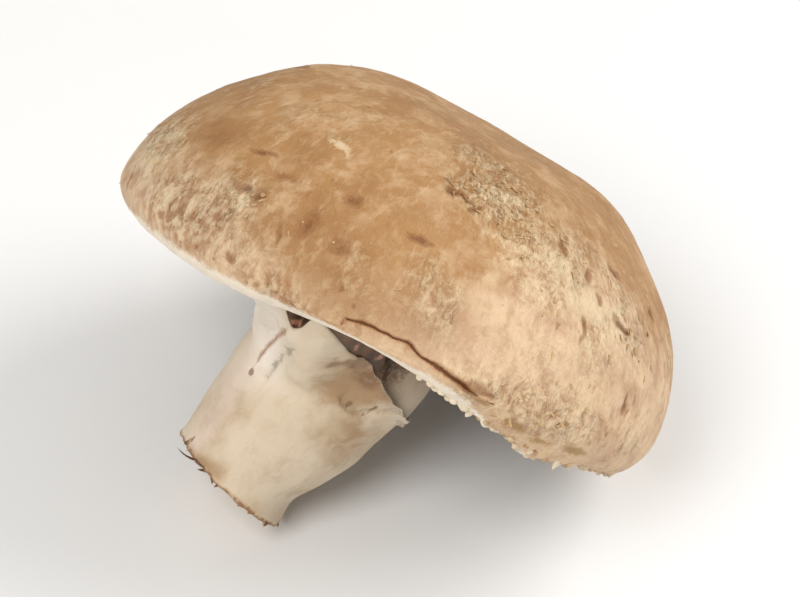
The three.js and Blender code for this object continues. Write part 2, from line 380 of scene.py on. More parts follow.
# How far the margin hangs down: the drop plus a cosine that is deeper on one side, less two bell curves where
# it arches up.
def marginDrop(turn):
    arched = swellAt(turn, cap["arch"]) + swellAt(turn, cap["nick"])
    return cap["drop"] + cap["deeperBy"] * np.cos((turn - cap["deepestAt"]) * degree) - arched


# How the cap differs from a circle: one plus a small share of cosines that wave round it.
def roundness(turn):
    return 1 + cap["wobble"] * sum(np.cos(count * (turn * degree) - start) for count, start in cap["waves"])


# The height of the flesh over the gills: a blend from the middle to the edge by a power of the radius.
def ceilingHeight(radius):
    share = np.minimum(radius / cap["ceilingEdge"], 1)
    return mix(cap["ceilingHigh"], cap["ceilingLow"], share ** cap["ceilingFall"])


# How far the dome stands out of a half egg: bell curves of the row and the angle.
def domeLift(turn, share):
    lift = -cap["flatter"][0] * bell(share, cap["flatter"][1])
    for *swell, atShare, reach in cap["swells"]:
        lift = lift + swellAt(turn, swell) * bell(share - atShare, reach)
    return lift * easeBetween(1 + cap["marginShare"], 1.0, share)


# A quarter ellipse from the top to the widest circle, lifted by its swells, then a quarter turn down and in
# to the lip.
def skinPoints(turn, share):
    quarter = np.clip(share, 0, 1) * 90 * degree
    margin = np.clip((share - 1) / cap["marginShare"], 0, 1) * 90 * degree
    dome = share <= 1
    inwards = cap["turnIn"] * (1 - np.cos(margin))
    radius = np.where(dome, cap["radius"] * np.sin(quarter), cap["radius"] - inwards)
    height = np.where(dome, cap["height"] * np.cos(quarter), -marginDrop(turn) * np.sin(margin))
    slope = np.hypot(np.sin(quarter) / cap["radius"], np.cos(quarter) / cap["height"])
    lift = domeLift(turn, share) / slope
    radius = (radius + lift * np.sin(quarter) / cap["radius"]) * roundness(turn)
    height = height + lift * np.cos(quarter) / cap["height"]
    return aroundAxis(radius, turn, height)


# The way down a meridian in millimetres, added up over small steps of an average meridian.
def meridianWay(share):
    steps = np.linspace(0, 1 + cap["marginShare"], 241)
    path = skinPoints(np.zeros_like(steps), steps)
    way = np.concatenate([[0], np.cumsum(np.linalg.norm(np.diff(path, axis=0), axis=1))])
    return np.interp(share, steps, way)


# The radius of the plain dome at a row, but near the top no less than at row 0.1.
def domeRadius(share):
    return cap["radius"] * np.sin(np.clip(share, 0.1, 1) * 90 * degree)


# The way round the cap in millimetres, from a chosen angle.
def wayRound(turn, share, atTurn):
    return turnFrom(atTurn, turn) * degree * domeRadius(share)


# Spots on the skin: the way along is down the meridian.
def spotsAt(turn, share, spots):
    way = meridianWay(share)
    return strongestSpot(spots, lambda row: way - meridianWay(row),
                         lambda angle: wayRound(turn, share, angle))


# What the skin shows. Each spot is (angle, row, length, width, tilt, strength), lengths along the meridian.
skin = {
    "swell": (0.34, 19),  # height and size of the broad swells
    "lumps": (0.20, 6),
    "crumple": (0.12, 2.6),
    "driftSize": 16,  # sizes of the noises that move the marks about
    "patchySize": 8,
    "speck": (0.10, 1.2),  # small bumps on the cream spots
    "opening": (0.22, 1.3),  # how soon the fibres spread out from the top
    "bend": (1.3, 2.5),  # how far the fibres wander, and over what size
    "brownSunk": 0.22,
    "scaleHeight": 0.20,
    "scaleSize": (3.0, 1.4),  # along the meridian and round
    "scaleRaised": 0.55,  # how far up from its middle a scale is still raised
    "scaleBorder": 0.15,
    "scaleChosen": (0.4, 0.65),  # only scales whose random number is higher than this stand out
    "threadHeight": 0.26,
    "threadSize": (1.1, 2.7),  # across and along the short threads of the rough places
    "threadSharpness": 2.6,
    "ridgeHeight": 0.42,
    "ridgeSize": (0.8, 2.3),  # across and along the ridges near the margin
    "ragMost": 1.2,  # how far noise moves the outlines of the spots
    "ragSizes": (3.2, 1.2),
    "brownSpots": [
        (215, 0.73, 3.6, 5.5, 0, 0.50), (229, 0.69, 0.8, 2.1, 20, 1.2), (252, 0.67, 1.7, 1.1, 10, 1.0),
        (249, 0.79, 3.0, 1.8, 0, 1.0), (269, 0.68, 1.1, 2.4, 10, 1.2), (236, 0.805, 1.6, 1.2, 0, 1.1),
        (271, 0.485, 0.8, 1.6, 30, 1.3), (245, 0.86, 1.6, 0.8, 0, 0.9), (325, 0.88, 1.8, 0.6, 0, 1.2),
        (263, 0.95, 0.6, 0.5, 0, 0.9), (238, 0.72, 0.8, 2.6, 10, 0.7), (239, 0.995, 0.9, 0.8, 0, 0.8),
        (199, 1.0, 2.6, 0.5, 0, 0.9), (182, 0.43, 1.2, 3.5, 10, 0.8), (256, 0.80, 1.6, 2.2, 20, 0.8),
        (277, 0.50, 1.8, 0.6, -30, 1.2), (262, 0.58, 0.8, 1.6, 0, 0.4), (243, 0.92, 1.6, 0.6, 10, 0.4),
        (324, 0.51, 1.9, 0.7, 30, 1.3), (311.5, 0.565, 1.7, 0.7, -15, 1.1), (307.6, 0.714, 1.7, 0.6, 0, 1.2),
        (322, 0.668, 0.8, 2.6, -10, 1.2), (341, 0.614, 1.4, 1.1, 0, 1.3), (353, 0.816, 1.2, 1.1, 0, 1.3),
        (314, 0.61, 1.0, 0.7, 0, 1.0), (303, 0.50, 1.3, 0.7, 0, 0.9), (60, 0.55, 2.0, 3.0, 30, 0.6),
        (118, 0.72, 3.0, 1.4, 0, 0.7), (150, 0.5, 1.2, 2.6, 0, 0.6), (20, 0.8, 1.5, 2.4, 15, 0.6),
        (88, 0.86, 1.0, 2.2, 0, 0.7), (170, 0.88, 2.4, 0.9, 0, 0.6), (288, 0.985, 1.1, 2.8, 0, 1.0),
        (291.5, 0.998, 0.9, 1.8, 0, 0.9), (233.5, 0.815, 0.8, 2.4, 0, 1.0),
    ],
    "creamSpots": [
        (206, 0.91, 2.2, 2.2, 0, 1.0), (202, 0.81, 1.3, 5.0, 20, 0.9), (198, 0.86, 1.2, 4.5, 25, 0.8),
        (234, 0.83, 2.4, 2.6, 0, 0.85), (240, 0.55, 0.9, 2.8, -10, 0.8), (300, 0.56, 4.0, 5.0, 0, 0.75),
        (320, 0.67, 3.2, 3.6, 0, 0.9), (283, 0.43, 3.5, 5.0, 0, 0.8), (311, 0.64, 6.0, 6.0, 0, 0.8),
        (224, 0.87, 2.0, 5.0, 0, 0.5), (321, 0.700, 0.5, 2.2, -10, 1.0), (294, 0.66, 5.0, 4.0, 20, 0.55),
        (312, 1.02, 4.0, 9.0, 0, 0.5), (333, 0.97, 5.0, 6.0, 0, 0.45), (300, 0.93, 3.0, 5.0, 0, 0.4),
        (290, 0.58, 5.0, 5.0, 0, 0.6), (240, 0.96, 4.0, 6.0, 0, 0.4), (200, 0.91, 3.0, 7.0, 10, 0.7),
        (75, 0.7, 3.0, 4.0, 20, 0.5), (135, 0.8, 2.5, 5.0, 0, 0.6), (35, 0.62, 2.5, 4.0, 0, 0.5),
    ],
    # broad soft patches where the skin is a deeper tan
    "duskSpots": [
        (216, 0.70, 4.5, 7.0, 20, 1.0), (232, 0.62, 3.5, 6.0, 10, 0.6), (253, 0.76, 4.0, 5.0, 20, 0.6),
        (262, 0.90, 6.5, 10.0, 0, 1.0), (275, 0.85, 7.0, 8.0, 0, 1.1), (272, 0.62, 4.0, 4.0, 0, 0.6),
        (248, 0.50, 3.0, 4.0, 0, 0.4), (270, 0.76, 6.0, 6.0, 0, 0.5), (185, 0.60, 6.0, 7.0, 10, 0.7),
        (150, 0.70, 6.0, 9.0, 20, 0.8), (60, 0.55, 6.0, 9.0, -20, 0.8), (100, 0.85, 6.0, 10.0, 10, 0.6),
        (10, 0.60, 5.0, 6.0, 0, 0.6),
    ],
    "roughSpots": [
        (283, 0.44, 6.5, 7.5, 0, 1.0), (302, 0.56, 7.5, 7.5, 0, 0.9), (202, 0.84, 5.0, 8.0, 0, 0.9),
        (325, 0.67, 6.0, 6.0, 0, 0.8), (306, 0.98, 5.0, 14.0, 0, 0.8), (232, 0.85, 4.0, 6.0, 0, 0.7),
        (312, 0.72, 8.0, 6.0, 0, 0.6), (225, 0.94, 4.0, 14.0, 0, 0.7), (300, 0.84, 3.0, 4.0, 0, 0.4),
        (70, 0.66, 8.0, 12.0, 0, 0.8), (130, 0.78, 6.0, 12.0, 0, 0.8), (20, 0.8, 6.0, 10.0, 0, 0.6),
    ],
    "roughAll": (0.45, 0.15, 0.6),  # noise adds patches everywhere: how rough, and where that begins and ends
    "roughRows": (0.12, 0.3),  # but the top stays smooth above the first of these rows
    "crumpleLeast": 0.3,
    "ridgedSpots": [
        (222, 0.98, 6.5, 15.0, 0, 1.0), (248, 1.02, 4.0, 11.0, 0, 0.8), (120, 0.95, 4.0, 14.0, 0, 0.6),
        (330, 0.92, 4.0, 8.0, 0, 0.4),
    ],
    "paleFrom": 0.82,  # the row where the tan crown turns into the paler margin
    "paleBlur": (0.16, 0.24),  # how softly, above and below that row
    "paleNoise": (0.08, 0.06),
    "paleSooner": (0.36, 312, 38),  # it does so sooner on the near right side: by how much, angle, width
    "paleLater": (0.20, 264, 20),
    "crack": [
        (263.4, 0.993), (263.6, 0.976), (265.4, 0.967), (269, 0.958), (274, 0.955), (278.5, 0.972),
        (283, 0.982), (287, 0.992), (290, 1.004), (294, 1.012),
    ],
    "crackWidth": 0.21,
    "crackWaver": (0.5, 0.6, 2.4),  # how far noise moves it, how much it widens it, and the noise's size
    "crackWidest": (0.9, 0.74, 0.13),  # how much wider, how far along, and over what reach
    "crackEnds": (0.45, 0.45, 0.7),  # its least width, how much wider it is between the ends, and the power
    "crackDepth": 0.42,
    "crackLip": (0.25, 2.4, 1.2),  # the raised skin beside it: height, and how many widths away and wide
    "stains": [
        (291, 1.03, 1.2, 2.2, 0, 0.8), (300, 1.06, 1.3, 3.2, 0, 1.0), (307, 1.075, 1.0, 2.0, 0, 0.7),
        (317, 1.06, 1.2, 3.0, 0, 1.0), (328, 1.07, 1.0, 2.0, 0, 0.6), (60, 1.08, 1.5, 9.0, 0, 0.7),
        (140, 1.09, 1.2, 6.0, 0, 0.6),
    ],
    # where the cream rim begins: angle and row
    "rimFrom": [
        (0, 1.14), (90, 1.13), (150, 1.13), (188, 1.11), (205, 1.085), (235, 1.075), (255, 1.06), (264, 1.03),
        (282, 1.03), (289, 1.05), (294, 1.12), (300, 1.17), (345, 1.16),
    ],
    "rimScale": 45,  # millimetres to a row, for the rim
    "ragged": (1.7, 309, 17),  # how ragged the margin is, where most, and over what width
    "raggedAll": 0.22,
    "raggedSize": 2.1,
    "raggedRows": (1.04, 1.18),  # between which it grows from nothing to the whole
}


# Places for patterns that follow the meridians, in millimetres: the way down, and a circle that opens from
# the top towards the radius of the cap as one less an exponential.
def fibrePlaces(turn, share):
    reach, power = skin["opening"]
    opened = cap["radius"] * (1 - np.exp(-((share / reach) ** power)))
    return aroundAxis(opened, turn, meridianWay(share))


# Places pushed about by noise, so that the spots on them have ragged outlines: new angles and rows.
def ragged(turn, share, base):
    large, small = skin["ragSizes"]
    down, beside = [skin["ragMost"] * (softNoise(base, large, seed) + 0.5 * softNoise(base, small, seed + 1))
                    for seed in (61, 63)]
    return turn + beside / domeRadius(share) / degree, share + down / meridianWay(1.0)


# How far a place is from the crack, in widths of it and at most 9. The crack wavers by noise, is widest three
# quarters along by a bell curve, and runs out at both ends by a power of a sine.
def crackWay(turn, share, base):
    start = skin["crack"][0]
    line = [(wayRound(np.array(t), np.array(1.0), start[0]), meridianWay(s) - meridianWay(start[1]))
            for t, s in skin["crack"]]
    moved, widened, size = skin["crackWaver"]
    more, at, reach = skin["crackWidest"]
    waver = layeredNoise(base, size, 91, 3)
    x = wayRound(turn, np.ones_like(share), start[0])
    y = meridianWay(share) - meridianWay(start[1]) + moved * waver
    distance, along = lineDistance(x, y, line)
    least, between, power = skin["crackEnds"]
    ends = np.sin(np.pi * np.clip(along, 0.03, 0.97)) ** power
    width = skin["crackWidth"] * (least + between * ends + more * bell(along - at, reach) + widened * waver)
    return np.minimum(distance / np.maximum(width, 0.1), 9)


# The skin's height above the plain form and its marks, for every angle and row. The height is a sum of noises
# from broad to fine, which are stronger where it is rough, less the brown spots and the crack.
def dressSkin(turn, share):
    base = skinPoints(turn, share)
    fibre = fibrePlaces(turn, share)
    drift = layeredNoise(base, skin["driftSize"], 3, 2)
    patchy = layeredNoise(base, skin["patchySize"], 21, 3)
    speckHeight, speckSize = skin["speck"]
    speck = softNoise(base, speckSize, 81)
    raggedTurn, raggedShare = ragged(turn, share, base)
    added, begins, ends = skin["roughAll"]
    rough = spotsAt(raggedTurn, raggedShare, skin["roughSpots"]) + added * easeBetween(begins, ends, patchy)
    rough = np.clip(rough, 0, 1) * easeBetween(*skin["roughRows"], share)

    # scales that lie over one another like shingles, threads and ridges, all along the wandering fibres
    wander, bendSize = skin["bend"]
    bent = fibre + wander * np.stack([softNoise(base, bendSize, seed) for seed in (51, 52, 53)], axis=-1)
    along, across = skin["scaleSize"]
    border, way, number = cellNoise(bent, (across, across, along), 40)
    shingle = np.clip(skin["scaleRaised"] - way[..., 2], 0, 1) * easeBetween(0, skin["scaleBorder"], border)
    shingle *= easeBetween(*skin["scaleChosen"], number)
    across, along = skin["threadSize"]
    thread = np.abs(layeredNoise(bent, (across, across, along), 45, 2))
    thread = np.clip(1 - skin["threadSharpness"] * thread, 0, 1)
    across, along = skin["ridgeSize"]
    ridge = layeredNoise(bent, (across, across, along), 47, 2)
    ridged = spotsAt(turn, share, skin["ridgedSpots"])

    brown = spotsAt(raggedTurn, raggedShare, skin["brownSpots"])
    cream = spotsAt(raggedTurn, raggedShare, skin["creamSpots"])
    crack = crackWay(turn, share, base)
    lipHeight, lipAway, lipWidth = skin["crackLip"]
    crackLip = bell(crack - lipAway, lipWidth) * easeBetween(0.95, 1.0, share)

    height = roughen(base, skin["swell"], 11, 2)
    height += roughen(base, skin["lumps"], 12, 3)
    height += roughen(fibre, skin["crumple"], 13, 2) * (skin["crumpleLeast"] + rough)
    height += (skin["scaleHeight"] * shingle + skin["threadHeight"] * (thread - 0.5)) * rough
    height += skin["ridgeHeight"] * ridge * ridged
    height -= skin["brownSunk"] * brown + skin["crackDepth"] * bell(crack, 0.9)
    height += speckHeight * cream * speck + lipHeight * crackLip

    paleFrom = skin["paleFrom"] - swellAt(turn, skin["paleSooner"]) + swellAt(turn, skin["paleLater"])
    (above, below), (drifting, patching) = skin["paleBlur"], skin["paleNoise"]
    rimFrom = roundTheAxis(turn.ravel(), skin["rimFrom"], 4).reshape(turn.shape)
    marks = {
        "pale": easeBetween(paleFrom - above, paleFrom + below, share + drifting * drift + patching * patchy),
        "brown": brown,
        "cream": cream,
        "dusk": spotsAt(raggedTurn, raggedShare, skin["duskSpots"]),
        "rough": rough,
        "thread": thread,
        "ridged": ridged,
        "ridge": ridge,
        "crack": crack,
        "rim": (share - rimFrom) * skin["rimScale"],
        "stain": spotsAt(raggedTurn, share, skin["stains"]),
        "flesh": np.zeros_like(share),
        "fibre": fibre,
    }
    return height, marks


# A small step down the plain skin from each place: the difference of the points below and above it.
def stepDown(turn, share, step=0.003):
    return skinPoints(turn, share + step) - skinPoints(turn, share - step)


# The outward direction of the plain skin: the cross product of small steps down and round.
def skinNormal(turn, share):
    across = skinPoints(turn + 0.2, share) - skinPoints(turn - 0.2, share)
    return unit(np.cross(stepDown(turn, share, 0.002), across))


# The skin with all its relief: the plain form plus its height along the outward direction, which fades out at
# the very top. The margin is moved up and down by its raggedness.
def dressedSkin(turn, share):
    height, marks = dressSkin(turn, share)
    fade = easeBetween(0, 0.03, share)
    points = skinPoints(turn, share) + skinNormal(turn, np.maximum(share, 0.01)) * (height * fade)[..., None]
    points[..., 2] -= easeBetween(*skin["raggedRows"], share) * raggedness(points, turn)
    return points, marks


# Noise times a strength that is greatest where the margin is torn, by a bell curve.
def raggedness(points, turn):
    strength = skin["raggedAll"] + swellAt(turn, skin["ragged"])
    return layeredNoise(points, skin["raggedSize"], 71, 3) * strength


# The cap is one closed body: the skin from the top to the lip, part of a circle for the lip, and the ceiling
# of flesh over the gills back to the axis.
def makeCap(material):
    even = np.arange(cap["columns"]) / cap["columns"] * 360
    turn = even - cap["closer"] * np.sin((even - cap["closerAt"]) * degree)
    share = np.interp(np.linspace(0, 1, cap["rows"]), *np.transpose(cap["rowSpread"]))
    turns, shares = np.meshgrid(turn % 360, share)
    outer, marks = dressedSkin(turns, shares)

    turn = turns[0]
    drop, lip, wobble = marginDrop(turn), cap["lipRadius"], roundness(turn)
    lipCentre = cap["radius"] - cap["turnIn"] - lip * cap["lipInset"]
    under, lipRows = [], cap["lipRows"]
    for sweep in np.linspace(0, cap["lipSweep"], lipRows + 1)[1:] * degree:
        radius = (lipCentre - lip * np.sin(sweep)) * wobble
        under.append(aroundAxis(radius, turn, -drop + lip * (1 - np.cos(sweep))))
    shoulder = mix(2 * lip - drop, cap["ceilingLow"], 0.7)
    under.append(aroundAxis((cap["ceilingEdge"] + 0.5) * wobble, turn, shoulder))
    for radius in np.linspace(cap["ceilingEdge"], 0, cap["ceilingRows"]):
        under.append(aroundAxis(radius + 0 * turn, turn, ceilingHeight(radius)))
    under = np.array(under)
    under[:lipRows, :, 2] -= raggedness(under[:lipRows], turn) * np.linspace(1, 0.3, lipRows)[:, None]

    # the underside takes the marks of the last row
    full = {key: np.concatenate([value, np.repeat(value[-1:], len(under), axis=0)])
            for key, value in marks.items()}
    full["flesh"][len(outer) + 3:] = 1
    full["crack"][len(outer):] = 9
    full["fibre"][len(outer):] = under
    return ringMesh("capFlesh", np.concatenate([outer, under]), full, material)


# Flakes of skin that have come loose and curl up.

flakes = {
    # angle, row, spread in millimetres, how many, length, half width, curl and spread of their directions in
    # degrees, how brown, how far they bend sideways
    "clusters": [
        (283, 0.430, 3.6, 34, 1.7, 0.30, 30, 80, 0.45, 0.35),
        (271.5, 0.480, 0.9, 5, 3.0, 0.42, 36, 60, 1.0, 1.1),
        (292, 0.49, 4.5, 26, 1.7, 0.30, 28, 60, 0.35, 0.35),
        (303, 0.58, 5.5, 24, 2.0, 0.28, 22, 40, 0.2, 0.35),
        (322, 0.68, 3.6, 14, 2.3, 0.26, 26, 50, 0.5, 0.6), (335, 0.71, 3.0, 8, 2.0, 0.28, 24, 50, 0.7, 0.6),
        (201, 0.84, 4.5, 20, 2.6, 0.28, 18, 25, 0.1, 0.3), (235, 0.815, 1.6, 8, 1.8, 0.38, 34, 60, 0.5, 0.4),
        (306, 0.97, 6.5, 34, 2.0, 0.24, 20, 45, 0.3, 0.5), (75, 0.66, 9.0, 24, 2.0, 0.30, 24, 50, 0.3, 0.4),
        (132, 0.78, 8.0, 24, 2.0, 0.30, 24, 50, 0.3, 0.4), (25, 0.78, 7.0, 18, 2.0, 0.30, 22, 50, 0.3, 0.4),
    ],
    "rows": (0.12, 1.06),  # between which the clusters stay
    "scattered": (80, 1.6, 0.20, 12, 60, 0.5, 0.5),
    "scatteredRows": (0.25, 1.05),
    "lengths": (0.5, 1.25),  # between which shares each flake's length, width and curl are drawn
    "widths": (0.6, 1.3),
    "curls": (0.3, 1.2),
    "uneven": 0.22,
    "sunk": 0.11,
    "thickness": 0.11,
    "ends": (0.06, 0.94),  # the part of the sine that their half width follows, and its power
    "fullness": 0.6,
    "seed": 7,
}


# Each flake is a strip that follows an arc: it starts a little under the skin and bends up by its curl, its
# half width follows a power of a sine, and its direction is drawn round the way down to the margin.
def makeFlakes(material):
    draw = np.random.default_rng(flakes["seed"])
    rows = []
    for atTurn, atShare, spread, count, *traits in flakes["clusters"]:
        down = draw.normal(0, spread, count)
        beside = draw.normal(0, spread, count)
        share = np.clip(atShare + down / meridianWay(1.0), *flakes["rows"])
        turn = atTurn + beside / (cap["radius"] * np.sin(share * 90 * degree).clip(0.2)) / degree
        rows.append(withTraits(traits, turn % 360, share))
    count, *traits = flakes["scattered"]
    anywhere = draw.uniform(0, 360, count)
    rows.append(withTraits(traits, anywhere, draw.uniform(*flakes["scatteredRows"], count)))
    turn, share, length, width, curl, aim, brown, sway = np.concatenate(rows).T
    count = len(turn)
    length = length * draw.uniform(*flakes["lengths"], count)
    width = width * draw.uniform(*flakes["widths"], count)
    curl = curl * draw.uniform(*flakes["curls"], count) * degree
    aim = draw.normal(0, 1, count) * aim * degree

    root, _ = dressedSkin(turn, share)
    up = skinNormal(turn, share)
    down = unit(stepDown(turn, share))
    beside = unit(np.cross(up, down))
    ahead = down * np.cos(aim)[:, None] + beside * np.sin(aim)[:, None]
    across = np.cross(up, ahead)
    u = alongStrip()
    bend = curl[:, None] * u
    arc = (length / np.maximum(curl, 0.05))[:, None]
    forward, lifted = arc * np.sin(bend), arc * (1 - np.cos(bend))
    sway = (draw.normal(0, 1, count) * sway * length)[:, None] * (u - 0.3) ** 2
    lifted = lifted - flakes["sunk"] * (1 - 0.6 * u)
    centres = root[:, None] + stepwise(ahead, forward) + stepwise(up, lifted) + stepwise(across, sway)
    uneven = 1 + flakes["uneven"] * draw.normal(0, 1, lifted.shape)
    start, end = flakes["ends"]
    profile = np.sin(np.pi * (start + (end - start) * u)) ** flakes["fullness"] * width[:, None] * uneven
    rise = (stepwise(up, np.cos(bend)) - stepwise(ahead, np.sin(bend))) * flakes["thickness"] * 0.5
    brown = brown[:, None] * (1.3 - u) + 0.3 * (1 - u)
    tone = draw.uniform(0, 1, count)
    return stripMesh("skinFlakes", centres, stepwise(across, profile), rise, brown, tone, material)


# Beads and torn crumbs of the veil along the margin.

rimBeads = {
    # along the margin: from angle, to angle, how many, length, half width, how far they hang, how brown, how
    # uneven
    "runs": [
        (280.5, 290.5, 7, 1.6, 0.72, 0.10, 0.1, 0.08), (292.6, 293.2, 2, 2.6, 0.55, 0.6, 0.0, 0.1),
        (295, 331, 34, 1.3, 0.50, 0.02, 0.9, 0.22), (317.0, 318.0, 2, 2.8, 0.60, 1.1, 0.05, 0.15),
        (332, 350, 8, 1.3, 0.5, 0.03, 0.4, 0.35), (0, 190, 44, 1.4, 0.5, 0.03, 0.3, 0.35),
    ],
    "row": 1.17,
    "rowSpread": (-0.04, 0.01),
    "jitter": 0.25,  # how far each strays from its even place
    "lengths": (-2, 1),  # between which the length and the width of an uneven one are drawn
    "widths": (-1.5, 1.5),
    "pull": (0, 0, -0.6),  # added to the outward direction that they hang in
    "leastHang": 0.3,
    "flatness": 0.8,
    "browns": (0.2, 1.6),  # between which shares of its run's brown each one is drawn, and its tone
    "tones": (0.2, 1),
    "seed": 19,
}


# Each is a lump whose half width follows the root of a sine. It sits on the margin and points down it, and
# out by how far it hangs.
def makeRimBeads(material):
    draw = np.random.default_rng(rimBeads["seed"])
    rows = []
    for start, end, count, *traits in rimBeads["runs"]:
        strayed = draw.normal(0, rimBeads["jitter"], count) * (end - start) / count
        turn = np.linspace(start, end, count) + strayed
        rows.append(withTraits(traits, turn % 360))
    turn, length, width, hang, brown, uneven = np.concatenate(rows).T
    count = len(turn)
    length = length * (1 + uneven * draw.uniform(*rimBeads["lengths"], count))
    width = width * (1 + uneven * draw.uniform(*rimBeads["widths"], count))
    share = rimBeads["row"] + draw.uniform(*rimBeads["rowSpread"], count)
    root, _ = dressedSkin(turn, share)
    outward = skinNormal(turn, share)
    down = unit(stepDown(turn, share))
    hang = rimBeads["leastHang"] + hang
    way = unit(down + (outward + np.array(rimBeads["pull"])) * hang[:, None])
    across = unit(np.cross(outward, way))
    rise = unit(np.cross(way, across))
    u = alongStrip()
    centres = root[:, None] + stepwise(way, (u - 0.5) * length[:, None])
    profile = np.sqrt(np.sin(np.pi * np.clip(u, 0.04, 0.96))) * width[:, None]
    profile = profile * (1 + uneven[:, None] * draw.normal(0, 1, profile.shape))
    brown = brown[:, None] * draw.uniform(*rimBeads["browns"], count)[:, None] + 0 * u
    tone = draw.uniform(*rimBeads["tones"], count)
    return stripMesh("rimBeads", centres, stepwise(across, profile),
                     stepwise(rise, profile * rimBeads["flatness"]), brown, tone, material)


# The gills: thin plates in a fan, long and short in turn, worked out as one waved layer.

gills = {
    "innerRadius": 15.9,
    "outerRadius": 39.6,
    "gap": 0.55,  # between the layer and the flesh above it
    "backing": 1.2,  # how thick the layer is
    "depth": 9,
    "endDepth": 1.5,
    "shallower": 0.75,  # the share of the depth that every second gill has
    "count": 210,
    # the wave of one gill: (share of the way to the next, how far it hangs)
    "wave": [(0, 0), (0.24, 0), (0.36, 0.94), (0.5, 1), (0.64, 0.94), (0.76, 0)],
    "starts": (0.0, 0.5, 0.22, 0.5),  # where each of four neighbours starts on the way out
    "unevenStart": 0.06,
    "unevenDepth": 0.18,
    "bellyLean": 0.7,
    "bellyFullness": 0.6,
    "sway": (0.175, 0.1),  # in degrees at the outer edge, in long and in short waves
    "longWave": (9, 5, 2),  # waves on the way out, waves round, and how far those shift the first
    "shortWave": 23,
    "rows": 30,
}


# Each gill is a flat-topped wave of the angle that hangs from the layer. How deep it hangs is a belly between
# its two ends: a power of a sine of the way out. Every fourth gill starts at the stem and the others further
# out, and all of them sway a little by sines.
def makeGills(material):
    pulse, hang = np.transpose(gills["wave"])
    number = np.repeat(np.arange(gills["count"]), len(pulse))
    turn = (number + np.tile(pulse, gills["count"])) / gills["count"] * 360
    hang = np.tile(hang, gills["count"])
    kind = number % 4
    start = np.array(gills["starts"])[kind] + gills["unevenStart"] * np.sin(number * 2.4) * (kind > 0)

    out = np.linspace(0, 1, gills["rows"])[:, None]
    radius = mix(gills["innerRadius"], gills["outerRadius"], out)
    along = np.clip((out - start) / (1 - start), 0, 1)
    belly = np.sin(np.pi * along ** gills["bellyLean"]).clip(0) ** gills["bellyFullness"]
    deep = np.where(kind % 2 == 1, gills["shallower"], 1.0) * gills["depth"]
    deep = mix(gills["endDepth"] * (out >= start), deep - gills["backing"], belly)
    hanging = hang * np.maximum(deep + gills["unevenDepth"] * np.sin(number * 1.7) * belly, 0)
    base = ceilingHeight(radius) - gills["gap"]
    (long, short), (outWaves, roundWaves, shift) = gills["sway"], gills["longWave"]
    sway = long * np.sin(out * outWaves + np.sin(turn * degree * roundWaves) * shift)
    sway = sway + short * np.sin(out * gills["shortWave"] + number)
    swayed = turn + sway * (hang > 0) * out
    lower = aroundAxis(radius + 0 * turn, swayed, base - gills["backing"] - hanging)
    upper = aroundAxis(radius + 0 * turn, turn + 0 * radius, base)
    # from the inner edge outwards underneath, and back inwards on top, where every third row is enough
    rings = np.concatenate([lower, upper[::-3]])[::-1]
    marks = {
        "edge": np.concatenate([hang + 0 * out, 0 * (hang + 0 * out)[::-3]])[::-1],
        "tint": np.broadcast_to(np.sin(number * 12.9898) % 1, rings.shape[:2]),
    }
    return ringMesh("gillFan", rings, marks, material, looped=True)


# The stem, with what is left of the veil.

stem = {
    "capGap": 0.35,  # between its top and the flesh of the cap
    "topCentre": -1.2,
    "topStraight": -2,
    "cutCentre": -11.3,
    "cutHeight": -39.4,
    "cutSlope": -0.28,
    "cutRadius": 11.9,
    "neckRadius": 12.8,
    "flareHeight": -18,
    "flareRadius": 15.1,
    "waist": 0.3,
    "nip": (2.3, 350, 42),  # it is nipped in on one side: depth, angle, width
    "nipDown": (0.78, 0.17),  # and how far down, over what reach
    "bulge": (3.9, 334, 36),  # the neck is fuller here: by how much, angle, width
    "shaftShares": (0.2, 0.4, 0.6, 0.8, 0.97),  # of the way from the flare to the cut
    # how many rows each stretch of the curves has: up to the torn edge, down to the cut, and over the cut
    "steps": [
        [2, 2, 4, 6, 8, 8, 3, 8, 14, 2],
        [2, 12, 12, 12, 12, 14, 14, 14, 14, 12],
        [4, 12, 6],
    ],
    "saw": (0.34, 1.7),  # the marks of a dull knife on the cut: height and size
    "notch": (0.9, 214, 3.5),  # how high the cut rises in one place, where, and how wide
    "dish": [(0.965, 0.04), (0.6, 0.35), (0, 0.3)],  # the cut end: (share of its radius, how far it is sunk)
    "fibreRadius": 14,
    "fibrilSize": (1.2, 0.16),  # across the fibres, and how much shorter noise is made along them
    "foldSize": (6, 6, 9),
    "pitSize": 2.2,
    "relief": (0.05, 0.30, 0.22, 0.25),  # heights of fibres and folds, depths of brown spots and of the cut
    "columns": 480,
    "closerAt": 265,  # the columns stand closer together on the side where the veil is torn
    "closer": 33,
}

